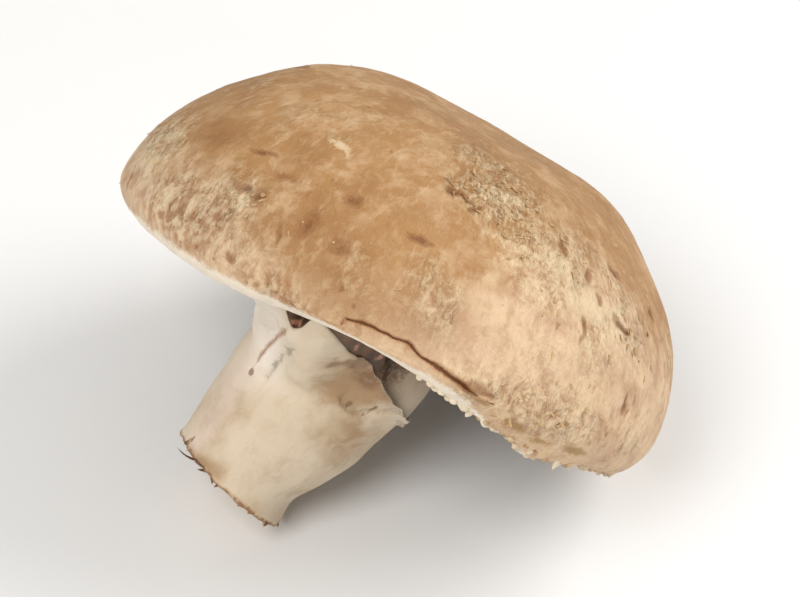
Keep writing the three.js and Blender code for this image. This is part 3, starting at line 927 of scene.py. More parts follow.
veil = {
    # the torn edge: angle round the stem, radius and height. It holds on to the margin in two places
    "edge": [
        (2, 15.9, -16.2), (18, 15.5, -14.6), (45, 15.5, -11.6), (80, 15.2, -12.4), (118, 15.4, -10.6),
        (150, 15.2, -12.8), (185, 15.6, -11.4), (203, 16.4, -12.0), (214, 18.2, -11.9), (222, 20.8, -11.2),
        (229, 24.4, -9.4),
        (235, 30.4, -6.5), (240, 36.2, -4.6), (244, 41.2, -2.9), (249.6, 41.8, -2.2), (251.0, 37.0, -4.8),
        (252.3, 33.6, -6.7), (254.2, 34.6, -5.9), (256.2, 38.6, -3.6), (257.3, 41.4, -2.1),
        (259.4, 41.0, -2.3),
        (261.8, 38.6, -3.3), (264.8, 32.4, -5.0), (268, 27.0, -6.5), (272, 23.2, -7.2), (276.5, 20.6, -7.5),
        (283, 19, -8.1), (290, 18.4, -9.4), (299, 18.2, -11.2), (309, 18.0, -12.6), (325, 17.9, -14.3),
        (333, 17.8, -15.1), (341, 16.9, -15.8), (352, 16.1, -16.3),
    ],
    "held": (19, 30),  # where the edge reaches further out than this, it holds on to the margin
    "nibble": (0.20, 0.45, 1.9),  # how ragged the edge is, outwards and up, and the size of its notches
    "thickness": 0.42,
    "smoothing": 5,  # below the edge its notches are smoothed out over this angle
    # the pocket behind it: how far below the edge where that hangs free and where it is held, and its top
    "pocketBelow": (2.4, 2.6),
    "pocketTop": -11.5,
    "pocket": (1.3, 305, 45, 75),  # it is only this deep round an angle: within 45 degrees, fading out to 75
    # inside the torn edge the inner face is raised into a film that fills the dark gap under the cap and
    # carries the painted shade there: how far in, how much higher, and between which angles
    "shadeFilm": (1.7, 3.7, 240, 248, 284, 300),
    "skirtFall": 1.5,  # the power of the share by which the skirt falls from where it is held
    "skirtBelly": (0.25, 1.0),  # how far it bellies up where it hangs free and where it is held
    # the front bulges out like a dome: by how much, angle, width
    "dome": (1.4, 261, 13),
    # the front of the veil has slipped over its left strip: a step along this line of (angle, height)
    "tear": [
        (253, -6.4), (247.5, -8.4), (243, -9.9), (238.5, -11.9), (233.5, -13.6), (229, -16.4), (226, -19.6),
    ],
    "step": 0.65,
    "stepBlur": (0.35, 0.5, 5),  # half the step's width, and where the raised side starts and ends fading
    "stepEnds": (-20.5, -17, -8, -5.5),  # it comes in between the first two heights and goes after the others
    "waver": (0.25, 1.5),  # how far noise moves the line, and its size
    "lineRadius": 20,  # angles along these lines are turned into millimetres at this radius
    # a crease beside it
    "crease": [(254, -10.4), (249.6, -11.7), (245.7, -13.6), (241.3, -16.1), (239.0, -18.8)],
    "creaseDepth": 0.40,
    "creaseWidth": 0.8,
    # the shaded hollow between the front and the free skirt
    "hollow": (286, -13.4, 4.4, 6.4, -25, 1.0),
    "hollowDepth": 0.8,
    # the ragged upper edge of the skirt: above this line of (angle, height) the flesh is sunk
    "fold": [
        (284, -16.6), (290, -17.4), (296, -18.0), (302, -18.0), (309, -17.0), (317, -15.4), (326, -14.6),
    ],
    "foldEnds": (282, 288, 322, 328),  # it comes in between the first two angles and goes between the others
    "foldWaver": (0.35, 1.4),
    "foldDepth": 0.55,
    "foldReach": (0.45, 0.5, 5),  # over which height it sinks, and where it begins and ends to rise again
}

stemSpots = {
    # (angle, height, length along the stem, width round it, tilt, strength)
    "brown": [
        (226, -19.9, 0.6, 0.6, 0, 1.2), (295, -16.6, 0.7, 0.6, 0, 1.1), (307, -16.7, 0.7, 0.6, 0, 1.0),
        (214, -35.2, 1.9, 0.5, 20, 1.2), (288, -9.6, 1.0, 2.4, -20, 0.6), (100, -24, 3.5, 1.0, 10, 0.7),
        (30, -28, 1.4, 2.2, 0, 0.7), (150, -15.5, 1.2, 3.0, 0, 0.7), (60, -13.6, 1.0, 3.4, 0, 0.7),
    ],
    "bruise": [
        (249.5, -11.8, 0.8, 0.8, 0, 0.9), (243, -15.4, 3.0, 1.0, 30, 0.3), (211, -27.2, 0.9, 1.0, 0, 0.6),
    ],
    # painted shade: red-brown just below the torn edge, where the cap's rim shades the stem
    "deep": [(276, -8.6, 1.6, 4.5, -15, 1.0), (290, -11.0, 2.4, 3.0, 0, 0.8), (303, -12.6, 3.0, 1.6, 0, 0.6)],
    # partly a tan tone, and partly painted shade on the stem's shaded right side and in the hollow under the
    # skirt
    "tan": [
        (288, -13.2, 4.6, 6.5, -20, 1.3), (318, -22, 9.0, 7.0, 0, 0.75), (292, -33, 6.0, 6.0, 0, 0.5),
        (262, -26, 2.5, 6.0, 15, 0.35), (335, -34, 5.0, 6.0, 0, 0.7), (80, -30, 7, 9, 0, 0.5),
        (170, -20, 6, 7, 0, 0.4), (290, -24, 8.0, 5.0, 0, 0.45), (242, -37, 1.6, 5.0, 0, 0.7),
        (272, -30, 7.0, 5.0, 0, 0.35),
    ],
    # painted shade: the deep gap between the veil and the neck, under the cap, is darkened to red-brown
    "pocketShade": [
        (262, -6.0, 6.0, 12.0, 0, 1.2), (276, -6.6, 5.0, 7.5, 0, 1.2), (288, -8.2, 2.4, 2.6, 0, 0.8),
    ],
    "blush": [
        (253.5, -5.4, 0.7, 1.6, 0, 1.0), (283, -6.8, 0.8, 1.2, -20, 0.9), (268, -5.8, 0.6, 1.6, 0, 0.5),
    ],
    # how far noise moves the outlines of most of them, and the sizes of the noises
    "ragged": [(0.9, 2.6), (0.45, 1.1)],
    # one side of the stem is pinker, and beside it the lit strip is whiter as a painted highlight: how much,
    # angle, width
    "pinkSide": (1, 222, 16),
    "litStripHighlight": (1, 236, 14),
}


# The stem leans: its middle moves sideways in proportion to the depth below topStraight.
def stemCentre(height):
    share = np.maximum((stem["topStraight"] - height) / (stem["topStraight"] - stem["cutHeight"]), 0)
    return mix(stem["topCentre"], stem["cutCentre"], share)


# A point at that angle and distance from the leaning middle of the stem.
def roundStem(radius, turn, height):
    points = aroundAxis(radius, turn, height)
    points[..., 0] += stemCentre(height)
    return points


# The way round the stem in millimetres, from a chosen angle.
def wayRoundStem(turn, radius, atTurn):
    return turnFrom(atTurn, turn) * degree * np.clip(radius, 6, 26)


# Spots on the stem: the way along is the height.
def spotsOnStem(turn, radius, height, spots):
    return strongestSpot(spots, lambda at: height - at, lambda angle: wayRoundStem(turn, radius, angle))


# The height of the cut end: a slope across the stem, with saw marks that grow by a power of the radius.
def cutEdgeHeight(turn, radius):
    jag = roughen(aroundAxis(radius + 0 * turn, turn, 0), stem["saw"], 47, 3) + swellAt(turn, stem["notch"])
    slope = stem["cutSlope"] * radius * np.cos(turn * degree)
    return stem["cutHeight"] + slope + jag * (radius / stem["cutRadius"]) ** 4


# For each angle a smooth curve from the axis under the cap, down the neck, out along the inside of the veil,
# round its torn edge, back to the stem and down it to the cut. It runs through control points that are blends
# between the edge, the neck, the flare and the cut.
def stemCurves(turn):
    outwards, upwards, size = veil["nibble"]
    nibble = layeredNoise(aroundAxis(veil["lineRadius"] + 0 * turn, turn, 0), size, 5, 3)
    edgeRadius, edgeHeight = roundTheAxis(turn, veil["edge"], 0.6).T
    broadRadius, broadHeight = roundTheAxis(turn, veil["edge"], veil["smoothing"]).T
    held = easeBetween(*veil["held"], edgeRadius)
    edgeRadius = edgeRadius + outwards * nibble
    edgeHeight = edgeHeight + upwards * nibble * (1 - 0.7 * held)
    thin = veil["thickness"]

    bulge = swellAt(turn, stem["bulge"])
    neck = stem["neckRadius"] + 0 * turn
    belowFree, belowHeld = veil["pocketBelow"]
    shallow, pocketAt, near, far = veil["pocket"]
    free = np.minimum(edgeHeight - belowFree, veil["pocketTop"]) - 0.35 * bulge
    shallowHere = easeBetween(far, near, np.abs(turnFrom(pocketAt, turn)))
    pocket = mix(mix(free, edgeHeight - belowHeld, held), edgeHeight - shallow, shallowHere)
    # the film fills the dark gap under the cap, so that the painted shade shows there
    inward, higher, *between = veil["shadeFilm"]
    shadeFilm = inAndOut(turn, *between)
    ceiling = ceilingHeight(neck + 1) - stem["capGap"]
    controls = [
        (0 * turn, ceilingHeight(0 * turn) - stem["capGap"]),
        ((neck + 1) / 2, ceiling),
        (neck + 0.6, ceiling - 0.5),
        (neck, 4 + 0 * turn),
        (neck + 0.2 * bulge, -1 + 0 * turn),
        (neck + 0.8 * bulge, mix(-3.0, pocket, 0.5)),
        (neck + 0.9 * bulge, pocket + 0.8),
        (neck + 0.9 * bulge + 0.6, pocket),
        (mix(mix(neck + bulge, edgeRadius, 0.6), edgeRadius - inward, shadeFilm),
         mix(mix(pocket, edgeHeight, 0.42), edgeHeight + higher + 0.8 * nibble, shadeFilm)),
        (edgeRadius - thin, edgeHeight - 0.06),
        (edgeRadius, edgeHeight + 0.1),
        (edgeRadius + 0.08, edgeHeight - thin),
    ]
    dome = bell(turnFrom(veil["dome"][1], turn), veil["dome"][2])
    fall = mix(mix(1, veil["skirtFall"], held), 1.0, dome)
    belly = mix(mix(*veil["skirtBelly"], held), -veil["dome"][0], dome)
    for share in (0.25, 0.5, 0.75, 1):
        broad = easeBetween(0, 0.6, share)
        controls.append((
            mix(mix(edgeRadius, broadRadius, broad), stem["flareRadius"], share ** 0.8),
            mix(mix(edgeHeight, broadHeight, broad) - 1.0, stem["flareHeight"], share ** fall)
            + np.sin(np.pi * share) * belly,
        ))
    nipShare, nipReach = stem["nipDown"]
    cutEdge = cutEdgeHeight(turn, stem["cutRadius"])
    for share in stem["shaftShares"]:
        waist = stem["waist"] * np.sin(3 * turn * degree + 1) * np.sin(np.pi * share)
        nipped = swellAt(turn, stem["nip"]) * bell(share - nipShare, nipReach)
        controls.append((
            mix(stem["flareRadius"], stem["cutRadius"], share) + waist - nipped,
            mix(stem["flareHeight"], cutEdge, share),
        ))
    for share, dish in stem["dish"]:
        radius = stem["cutRadius"] * share
        controls.append((radius + 0 * turn, cutEdgeHeight(turn, radius) + dish))
    path = smoothThrough(np.array(controls).transpose(0, 2, 1), sum(stem["steps"], []))
    radius, height = np.maximum(path[..., 0], 0), path[..., 1]
    radius[0], radius[-1] = 0, 0
    edgeRow, cutRow = sum(stem["steps"][0]), len(path) - sum(stem["steps"][2])
    outside, cut = np.zeros((len(path), 1)), np.zeros((len(path), 1))
    outside[edgeRow:cutRow] = 1
    cut[cutRow - 1:] = 1
    return radius, height, outside, cut


# How far every place is from a line of (angle, height) points on the stem, in millimetres, and on which side.
def stemLine(turn, radius, height, line):
    # the way round in millimetres, unrolled at a fixed radius
    def flatWay(angle):
        return turnFrom(line[-1][0], angle) * degree * veil["lineRadius"]

    angles, heights = np.array(line, dtype=float)[::-1].T
    side = wayRoundStem(turn, radius, np.interp(height, heights, angles))
    flat = [(flatWay(np.array(angle, dtype=float)), at) for angle, at in line]
    distance, _ = lineDistance(flatWay(turn), height, flat)
    return distance, np.sign(side)


# The curves all the way round, with the marks of the flesh and its relief added along the outward normal. The
# relief is a sum of fibres, folds and the step of the veil, less the crease, the fold, the hollow, the spots
# and the pits of the cut end.
def makeStem(material):
    even = np.arange(stem["columns"]) / stem["columns"] * 360
    turn = (even - stem["closer"] * np.sin((even - stem["closerAt"]) * degree)) % 360
    radius, height, outside, cut = stemCurves(turn)
    inside = (1 - outside) * (1 - cut)
    turns = np.broadcast_to(turn, radius.shape)
    rings = roundStem(radius, turns, height)

    fibre = aroundAxis(stem["fibreRadius"] + 0 * radius, turns, height)
    size, squeezed = stem["fibrilSize"]
    fibril = layeredNoise(fibre * np.array([1, 1, squeezed]), size, 31, 3)
    folds = layeredNoise(rings, stem["foldSize"], 33, 2)
    tearAway, tearSide = stemLine(turns, radius, height, veil["tear"])
    tearAway = tearAway + roughen(rings, veil["waver"], 37, 2)
    creaseAway, _ = stemLine(turns, radius, height, veil["crease"])
    crease = bell(creaseAway, veil["creaseWidth"]) * outside
    blur, fading, end = veil["stepBlur"]
    flap = easeBetween(-blur, blur, tearAway * tearSide) * (1 - easeBetween(fading, end, tearAway))
    ends = inAndOut(height, *veil["stepEnds"])
    foldHeight = np.interp(turns, *np.transpose(veil["fold"])) + roughen(rings, veil["foldWaver"], 41, 2)
    above, between = height - foldHeight, inAndOut(turns, *veil["foldEnds"])

    # spots, some of them pushed about by noise so that their outlines are ragged
    (much, broadSize), (less, fineSize) = stemSpots["ragged"]
    push = [much * softNoise(rings, broadSize, seed) + less * softNoise(rings, fineSize, seed + 1)
            for seed in (61, 63)]
    raggedTurns, raggedHeight = turns + push[0] / stem["fibreRadius"] / degree, height + push[1]
    spots = {key: spotsOnStem(raggedTurns, radius, raggedHeight, stemSpots[key])
             for key in ("brown", "bruise", "deep", "blush")}
    for key in ("tan", "pocketShade"):
        spots[key] = spotsOnStem(turns, radius, height, stemSpots[key])
    brown = spots["brown"] * outside
    hollow = spotsOnStem(turns, radius, height, [veil["hollow"]]) * outside

    fibrilHeight, foldsHeight, brownDepth, cutDepth = stem["relief"]
    lift = fibrilHeight * fibril + foldsHeight * folds * outside + (veil["step"] * flap * ends) * outside
    lift -= veil["creaseDepth"] * crease
    sinks, begins, ended = veil["foldReach"]
    lift -= veil["foldDepth"] * inAndOut(above, 0, sinks, begins, ended) * between * outside
    lift -= brownDepth * np.minimum(brown, 1) + veil["hollowDepth"] * hollow
    lift *= easeBetween(2, 8, radius) * (height < 0)
    pits = np.clip(layeredNoise(rings, stem["pitSize"], 39, 3), -1, 0.2)
    lift -= cutDepth * cut * pits * easeBetween(1, 4, radius)
    rings = rings + gridNormals(rings) * lift[..., None]

    # a painted shadow under the ragged upper edge of the skirt, added to the deep mark
    shadow = 0.35 * bell(above - 0.5, 0.8) * between * outside
    cutRim = bell(height - cutEdgeHeight(turns, radius), 0.9) * easeBetween(10.5, 11.5, radius)
    marks = {
        "brown": brown,
        # the bruise mark also darkens the crease: partly a grey-green bruise, partly painted shade in the
        # crease
        "bruise": np.clip(spots["bruise"] * outside + 0.5 * crease, 0, 1.2),
        "deep": np.clip(spots["deep"] * outside + shadow, 0, 1),
        "tear": np.minimum(np.abs(tearAway + 0.25), 9) + 9 * (1 - ends * outside),
        "tan": spots["tan"] * outside,
        # painted shade on the hidden inside, more of it towards the top under the cap
        "pocketShade": np.clip(spots["pocketShade"] * inside + inside * easeBetween(-3, 5, height), 0, 1),
        "blush": spots["blush"] * inside,
        "pink": swellAt(turns, stemSpots["pinkSide"]) * outside,
        "white": swellAt(turns, stemSpots["litStripHighlight"]) * outside * easeBetween(-24, -14, height),
        "cut": cut + 0 * height,
        "cutRim": cutRim * (height < -30),
        "inside": inside + 0 * height,
        "fibre": fibre,
    }
    return ringMesh("stemFlesh", rings, marks, material)


# Brown fibres that the knife left along the cut end.

cutFibres = {
    # from angle, to angle, how many, length, how far they stick out beyond the cut, how brown
    "groups": [
        (232, 236, 2, 3.4, 0.45, 1.0), (247, 249, 1, 2.0, 0.2, 1.0), (263, 266, 1, 1.6, 0.2, 0.9),
        (209, 213, 2, 1.6, 0.10, 0.9), (200, 330, 10, 1.0, 0.0, 0.9), (0, 360, 14, 1.0, 0.02, 0.6),
    ],
    "lengths": (0.5, 1.3),  # between which shares the length, the way out and the width of each are drawn
    "outs": (0.2, 1.4),
    "widths": (0.6, 1.6),
    "width": 0.24,
    "inset": 0.25,  # how far inside the edge they start, and above it
    "bendSpread": 1.0,
    "aimSpread": 1.3,
    "seed": 31,
}


# Each fibre starts at the cut edge and runs outwards, down and aside. It bows out by a sine, bends aside by a
# square, and narrows to its tip.
def makeCutFibres(material):
    draw = np.random.default_rng(cutFibres["seed"])
    rows = []
    for start, end, count, *traits in cutFibres["groups"]:
        rows.append(withTraits(traits, draw.uniform(start, end, count)))
    turn, length, out, brown = np.concatenate(rows).T
    count = len(turn)
    turn = turn % 360
    length = length * draw.uniform(*cutFibres["lengths"], count)
    radius = stem["cutRadius"] - cutFibres["inset"] + 0 * turn
    root = roundStem(radius, turn, cutEdgeHeight(turn, radius) + cutFibres["inset"])
    outward = aroundAxis(1 + 0 * turn, turn, 0)
    below = np.array([0, 0, -1.0])
    beside = np.cross(below, outward)
    u = alongStrip()
    bend = draw.normal(0, cutFibres["bendSpread"], count)[:, None] * u
    ahead = unit(outward * (out * draw.uniform(*cutFibres["outs"], count))[:, None] + below * 0.2
                 + beside * draw.normal(0, cutFibres["aimSpread"], count)[:, None])
    across = unit(np.cross(outward + 0.3 * below, ahead))
    rise = np.cross(ahead, across)
    centres = (root[:, None] + stepwise(ahead, u * length[:, None])
               + stepwise(across, bend * u * length[:, None] * 0.35)
               + stepwise(outward, 0.4 * np.sin(np.pi * u) * length[:, None] * 0.3))
    profile = cutFibres["width"] * (1.1 - 0.85 * u) * draw.uniform(*cutFibres["widths"], count)[:, None]
    tone = draw.uniform(0, 1, count)
    return stripMesh("cutFibres", centres, stepwise(across, profile), stepwise(rise, profile) * 0.8,
                     brown[:, None] + 0 * u, tone, material)


# Materials. Short names for the nodes they are built from: each method adds its nodes and gives their output.

class Nodes:
    def __init__(self, name):
        self.material = bpy.data.materials.new(name)
        self.material.use_nodes = True
        self.tree = self.material.node_tree
        self.tree.nodes.clear()

    # A node with its settings. An input is named, or numbered as i0 or i1, and is a value or another output.
    def add(self, kind, settings=None, **inputs):
        node = self.tree.nodes.new(kind)
        for key, value in (settings or {}).items():
            setattr(node, key, value)
        for key, value in inputs.items():
            numbered = key[0] == "i" and key[1:].isdigit()
            socket = node.inputs[int(key[1:]) if numbered else key.replace("_", " ")]
            if isinstance(value, bpy.types.NodeSocket):
                self.tree.links.new(value, socket)
            else:
                socket.default_value = value
        return node

    # A mark that the mesh carries.
    def mark(self, name, output="Fac"):
        return self.add("ShaderNodeAttribute", {"attribute_name": name}).outputs[output]

    def objectPlace(self):
        return self.add("ShaderNodeTexCoord").outputs["Object"]

    def vector(self, operation, **inputs):
        return self.add("ShaderNodeVectorMath", {"operation": operation}, **inputs).outputs[0]

    def stretched(self, place, sizes):
        return self.vector("MULTIPLY", i0=place, i1=sizes)

    # Moves places about by noise, so that no pattern on them runs straight.
    def bent(self, place, scale, amount):
        noise = self.add("ShaderNodeTexNoise", Vector=place, Scale=scale, Detail=2.0).outputs["Color"]
        push = self.vector("SUBTRACT", i0=noise, i1=(0.5, 0.5, 0.5))
        return self.vector("ADD", i0=place, i1=self.vector("SCALE", i0=push, Scale=amount * 2))

    def noise(self, place, scale, detail=3.0, roughness=0.55):
        return self.add("ShaderNodeTexNoise", Vector=place, Scale=scale, Detail=detail,
                        Roughness=roughness).outputs["Fac"]

    # How far it is to the nearest of scattered points, and a random number that belongs to it.
    def cells(self, place, scale):
        node = self.add("ShaderNodeTexVoronoi", Vector=place, Scale=scale)
        return node.outputs["Distance"], node.outputs["Color"]

    # One sum on value after value.
    def math(self, operation, total, *values):
        for value in values:
            total = self.add("ShaderNodeMath", {"operation": operation}, i0=total, i1=value).outputs[0]
        return total

    def plus(self, *values):
        return self.math("ADD", *values)

    def times(self, *values):
        return self.math("MULTIPLY", *values)

    # How far a noise is from its middle, times an amount.
    def swing(self, noise, amount):
        return self.times(self.math("SUBTRACT", noise, 0.5), amount)

    # An eased blend from outLow to outHigh while the value goes from low to high.
    def between(self, value, low, high, outLow=0.0, outHigh=1.0):
        return self.add("ShaderNodeMapRange", {"interpolation_type": "SMOOTHSTEP"}, Value=value, From_Min=low,
                        From_Max=high, To_Min=outLow, To_Max=outHigh).outputs["Result"]

    # A soft mark turned into a patch with a ragged edge: noise is added to it and the sum is cut off.
    def patch(self, mark, edge, cut, blur):
        return self.between(self.math("ADD", mark, self.math("SUBTRACT", edge, 0.5)), cut - blur, cut + blur)

    # A blend from colour a to colour b by a share.
    def blend(self, share, a, b):
        node = self.add("ShaderNodeMix", {"data_type": "RGBA", "clamp_factor": True}, i0=share)
        for index, value in ((6, a), (7, b)):
            if isinstance(value, bpy.types.NodeSocket):
                self.tree.links.new(value, node.inputs[index])
            else:
                node.inputs[index].default_value = (*value, 1)
        return node.outputs[2]

    # A tint over a colour where a noise passes from low to high, times where and most.
    def tinted(self, colour, noise, low, high, where, most, tint):
        return self.blend(self.times(self.between(noise, low, high), where, most), colour, tint)

    # A tint over a colour in ragged patches round a mark.
    def patched(self, colour, mark, edge, cut, blur, most, tint):
        return self.blend(self.times(self.patch(self.mark(mark), edge, cut, blur), most), colour, tint)

    # The shader with its bump. uniform values are the same all over, and are set on its own sockets.
    def finish(self, colour, roughness, height, bumpStrength, bumpDistance, **uniform):
        bump = self.add("ShaderNodeBump", Height=height, Strength=bumpStrength, Distance=bumpDistance)
        shader = self.add("ShaderNodeBsdfPrincipled", Base_Color=colour, Roughness=roughness,
                          Normal=bump.outputs["Normal"])
        for key, value in uniform.items():
            shader.inputs[key.replace("_", " ")].default_value = value
        output = self.add("ShaderNodeOutputMaterial")
        self.tree.links.new(shader.outputs["BSDF"], output.inputs["Surface"])
        return self.material


skinColours = {
    "tan": (0.405, 0.218, 0.084),
    "deepTan": (0.31, 0.148, 0.050),
    "lightTan": (0.50, 0.305, 0.150),
    "pale": (0.67, 0.475, 0.295),
    "pink": (0.58, 0.385, 0.250),
    "cream": (0.77, 0.61, 0.39),
    "white": (0.87, 0.78, 0.64),
    "dusk": (0.37, 0.225, 0.125),
    "brown": (0.25, 0.105, 0.034),
    "darkBrown": (0.135, 0.045, 0.013),
    "stain": (0.33, 0.19, 0.055),
    "rust": (0.32, 0.130, 0.045),
    "flesh": (0.76, 0.65, 0.48),
}


skinSurface = {
    "bumpStrength": 0.8,
    "bumpDistance": 0.0009,
    "Subsurface_Weight": 0.08,
    "Subsurface_Radius": (0.005, 0.0025, 0.0012),
    "Subsurface_Scale": 0.5,
    "Specular_IOR_Level": 0.3,
}


# Tan at the top and paler at the margin by the pale mark, with light and dark areas of many sizes. Short bent
# threads, flaky cells and dashes break it up where it is rough. Spots, the crack, stains and the cream rim
# come over it as ragged patches.
def skinMaterial():
    n = Nodes("capSkin")
    c = skinColours
    place = n.objectPlace()
    swirled = n.bent(place, 200, 0.0022)
    fibre = n.bent(n.mark("fibre", "Vector"), 0.35, 1.3)
    short = n.stretched(fibre, (1, 1, 0.42))
    rough = n.mark("rough")
    broad = n.noise(swirled, 60, 4, 0.6)
    blotch = n.noise(swirled, 190, 5, 0.62)
    mottle = n.noise(swirled, 520, 5, 0.65)
    wool = n.noise(short, 1.0, 5, 0.66)
    fine = n.noise(short, 3.0, 4, 0.6)
    grain = n.noise(place, 1700, 3, 0.6)
    flakeNear, flakeTone = n.cells(n.stretched(n.bent(fibre, 0.9, 0.6), (0.60, 0.60, 0.30)), 1.0)
    dashNear, dashTone = n.cells(n.stretched(fibre, (0.75, 0.75, 0.34)), 1.0)
    strokes = n.noise(n.stretched(fibre, (0.75, 0.75, 0.30)), 1.0, 4, 0.55)
    ridge = n.plus(n.mark("ridge"), n.swing(strokes, 1.4))
    streaks = n.noise(n.stretched(fibre, (0.42, 0.42, 0.13)), 1.0, 5, 0.62)

    top = n.blend(n.between(broad, 0.34, 0.60, 0.3, 1), c["deepTan"], c["tan"])
    top = n.blend(n.between(blotch, 0.42, 0.68, 0, 0.45), top, c["lightTan"])
    low = n.blend(n.between(blotch, 0.36, 0.62), c["pink"], c["pale"])
    paleness = n.plus(n.mark("pale"), n.between(blotch, 0.34, 0.66, -0.22, 0.22),
                      n.between(broad, 0.35, 0.65, -0.15, 0.15))
    colour = n.blend(paleness, top, low)
    dusk = n.plus(n.mark("dusk"), n.swing(blotch, 1.2), n.swing(mottle, 0.6))
    duskTint = n.blend(n.mark("pale"), c["deepTan"], c["dusk"])
    colour = n.blend(n.between(dusk, 0.1, 0.95, 0, 0.62), colour, duskTint)
    colour = n.blend(n.between(streaks, 0.54, 0.68, 0, 0.38), colour, c["deepTan"])
    colour = n.blend(n.between(streaks, 0.46, 0.32, 0, 0.30), colour, c["pale"])
    much = n.plus(n.times(rough, 0.85), n.times(n.mark("pale"), 0.12), 0.16)
    colour = n.tinted(colour, mottle, 0.52, 0.66, much, 0.65, c["cream"])
    colour = n.tinted(colour, mottle, 0.48, 0.36, much, 0.60, c["deepTan"])

    # light and dark threads: partly the fibres' own cream and brown, and partly painted light on the raised
    # threads and painted shade between them
    thread = n.plus(n.mark("thread"), n.swing(fine, 1.2))
    colour = n.tinted(colour, thread, 0.45, 0.90, rough, 0.55, c["cream"])
    colour = n.tinted(colour, thread, 0.26, 0.0, rough, 0.42, c["brown"])
    colour = n.tinted(colour, wool, 0.53, 0.66, much, 0.55, c["cream"])
    colour = n.tinted(colour, wool, 0.46, 0.34, much, 0.48, c["deepTan"])
    colour = n.tinted(colour, fine, 0.56, 0.70, much, 0.35, c["cream"])
    colour = n.tinted(colour, fine, 0.44, 0.32, much, 0.32, c["deepTan"])

    # flaky cells that are lighter and raised, each with a brown ring round it, a painted shadow at its lifted
    # edge
    edge = n.plus(flakeNear, n.swing(wool, 2.2))
    flakyHere = n.times(n.between(flakeTone, 0.48, 0.58), n.between(rough, 0.15, 0.8))
    flaky = n.times(n.between(edge, 0.46, 0.30), flakyHere, 0.55)
    under = n.times(n.between(edge, 0.38, 0.46), n.between(edge, 0.56, 0.48), flakyHere, 0.50)
    colour = n.blend(flaky, colour, c["cream"])
    colour = n.blend(under, colour, c["brown"])

    # ridges near the margin, lighter on their tops and darker in the grooves between them as painted light
    # and painted shade that follow the relief, and small dark dashes
    dash = n.plus(dashNear, n.swing(fine, 0.9))
    chosen = n.plus(dashTone, n.times(n.mark("ridged"), 0.22), n.times(rough, 0.12))
    dashes = n.times(n.between(dash, 0.36, 0.20), n.between(chosen, 0.84, 0.90))
    colour = n.tinted(colour, ridge, 0.05, 0.35, n.mark("ridged"), 0.60, c["cream"])
    colour = n.tinted(colour, ridge, -0.06, -0.30, n.mark("ridged"), 0.65, c["rust"])
    colour = n.blend(n.times(dashes, 0.62), colour, c["brown"])

    raggedEdge = n.plus(n.swing(mottle, 1.0), n.swing(fine, 0.9), 0.5)
    colour = n.patched(colour, "cream", raggedEdge, 0.50, 0.26, 0.58, c["cream"])
    colour = n.patched(colour, "brown", raggedEdge, 0.42, 0.22, 0.66, c["brown"])
    colour = n.patched(colour, "brown", raggedEdge, 0.86, 0.14, 0.55, c["darkBrown"])
    rim = n.patch(n.mark("rim"), n.plus(n.times(raggedEdge, 3.0), -1.0), 0.3, 0.9)
    colour = n.blend(n.times(rim, 0.85), colour, c["white"])
    colour = n.patched(colour, "stain", raggedEdge, 0.5, 0.25, 0.75, c["stain"])

    crack = n.plus(n.mark("crack"), n.swing(fine, 1.8), n.swing(mottle, 1.2))
    colour = n.blend(n.between(crack, 3.4, 1.2, 0, 0.6), colour, c["rust"])
    colour = n.blend(n.between(crack, 1.4, 0.5, 0, 0.9), colour, c["darkBrown"])
    colour = n.blend(n.mark("flesh"), colour, c["flesh"])

    roughness = n.between(blotch, 0.2, 0.8, 0.55, 0.8)
    height = n.plus(n.times(wool, n.plus(0.25, n.times(rough, 0.8))),
                    n.times(fine, n.plus(0.15, n.times(rough, 0.35))),
                    n.times(grain, 0.10),
                    n.times(flaky, 0.7),
                    n.times(mottle, n.plus(0.2, n.times(rough, 0.7))))
    return n.finish(colour, roughness, height, **skinSurface)


drySurface = {
    "bumpStrength": 0.5,
    "Specular_IOR_Level": 0.3,
}

# light and dark colours of the small strips
crumbColours = {
    "flakeSkin": ((0.66, 0.46, 0.24), (0.24, 0.105, 0.035)),
    "veilCrumb": ((0.82, 0.72, 0.56), (0.46, 0.29, 0.14)),
    "cutFibre": ((0.62, 0.42, 0.22), (0.10, 0.035, 0.014)),
}


# A light colour that differs from strip to strip by a blend, and turns to the dark one by the brown mark.
def crumbMaterial(name):
    n = Nodes(name)
    light, dark = crumbColours[name]
    mottle = n.noise(n.objectPlace(), 900, 4, 0.6)
    colour = n.blend(n.mark("tone"), light, mix(np.array(light), np.array(dark), 0.35))
    colour = n.blend(n.times(n.mark("brown"), n.between(mottle, 0.3, 0.6, 0.5, 1)), colour, dark)
    roughness = n.between(mottle, 0.3, 0.7, 0.6, 0.8)
    return n.finish(colour, roughness, mottle, bumpDistance=0.0003, **drySurface)


gillColours = {
    "dark": (0.040, 0.014, 0.009),
    "brown": (0.085, 0.032, 0.020),
    "edge": (0.17, 0.075, 0.048),
    "tint": (0.12, 0.055, 0.04),
}


# Chocolate brown: a blend by noise, paler along the free edges and a little different from gill to gill.
def gillMaterial():
    n = Nodes("gillFlesh")
    c = gillColours
    place = n.objectPlace()
    mottle = n.noise(place, 500, 4, 0.6)
    colour = n.blend(n.between(n.noise(place, 90, 3), 0.3, 0.7), c["dark"], c["brown"])
    colour = n.blend(n.times(n.mark("edge"), n.between(mottle, 0.3, 0.7, 0.1, 0.5)), colour, c["edge"])
    colour = n.blend(n.times(n.mark("tint"), 0.3), colour, c["tint"])
    roughness = n.between(mottle, 0.3, 0.7, 0.6, 0.8)
    return n.finish(colour, roughness, mottle, bumpDistance=0.0004, **drySurface)


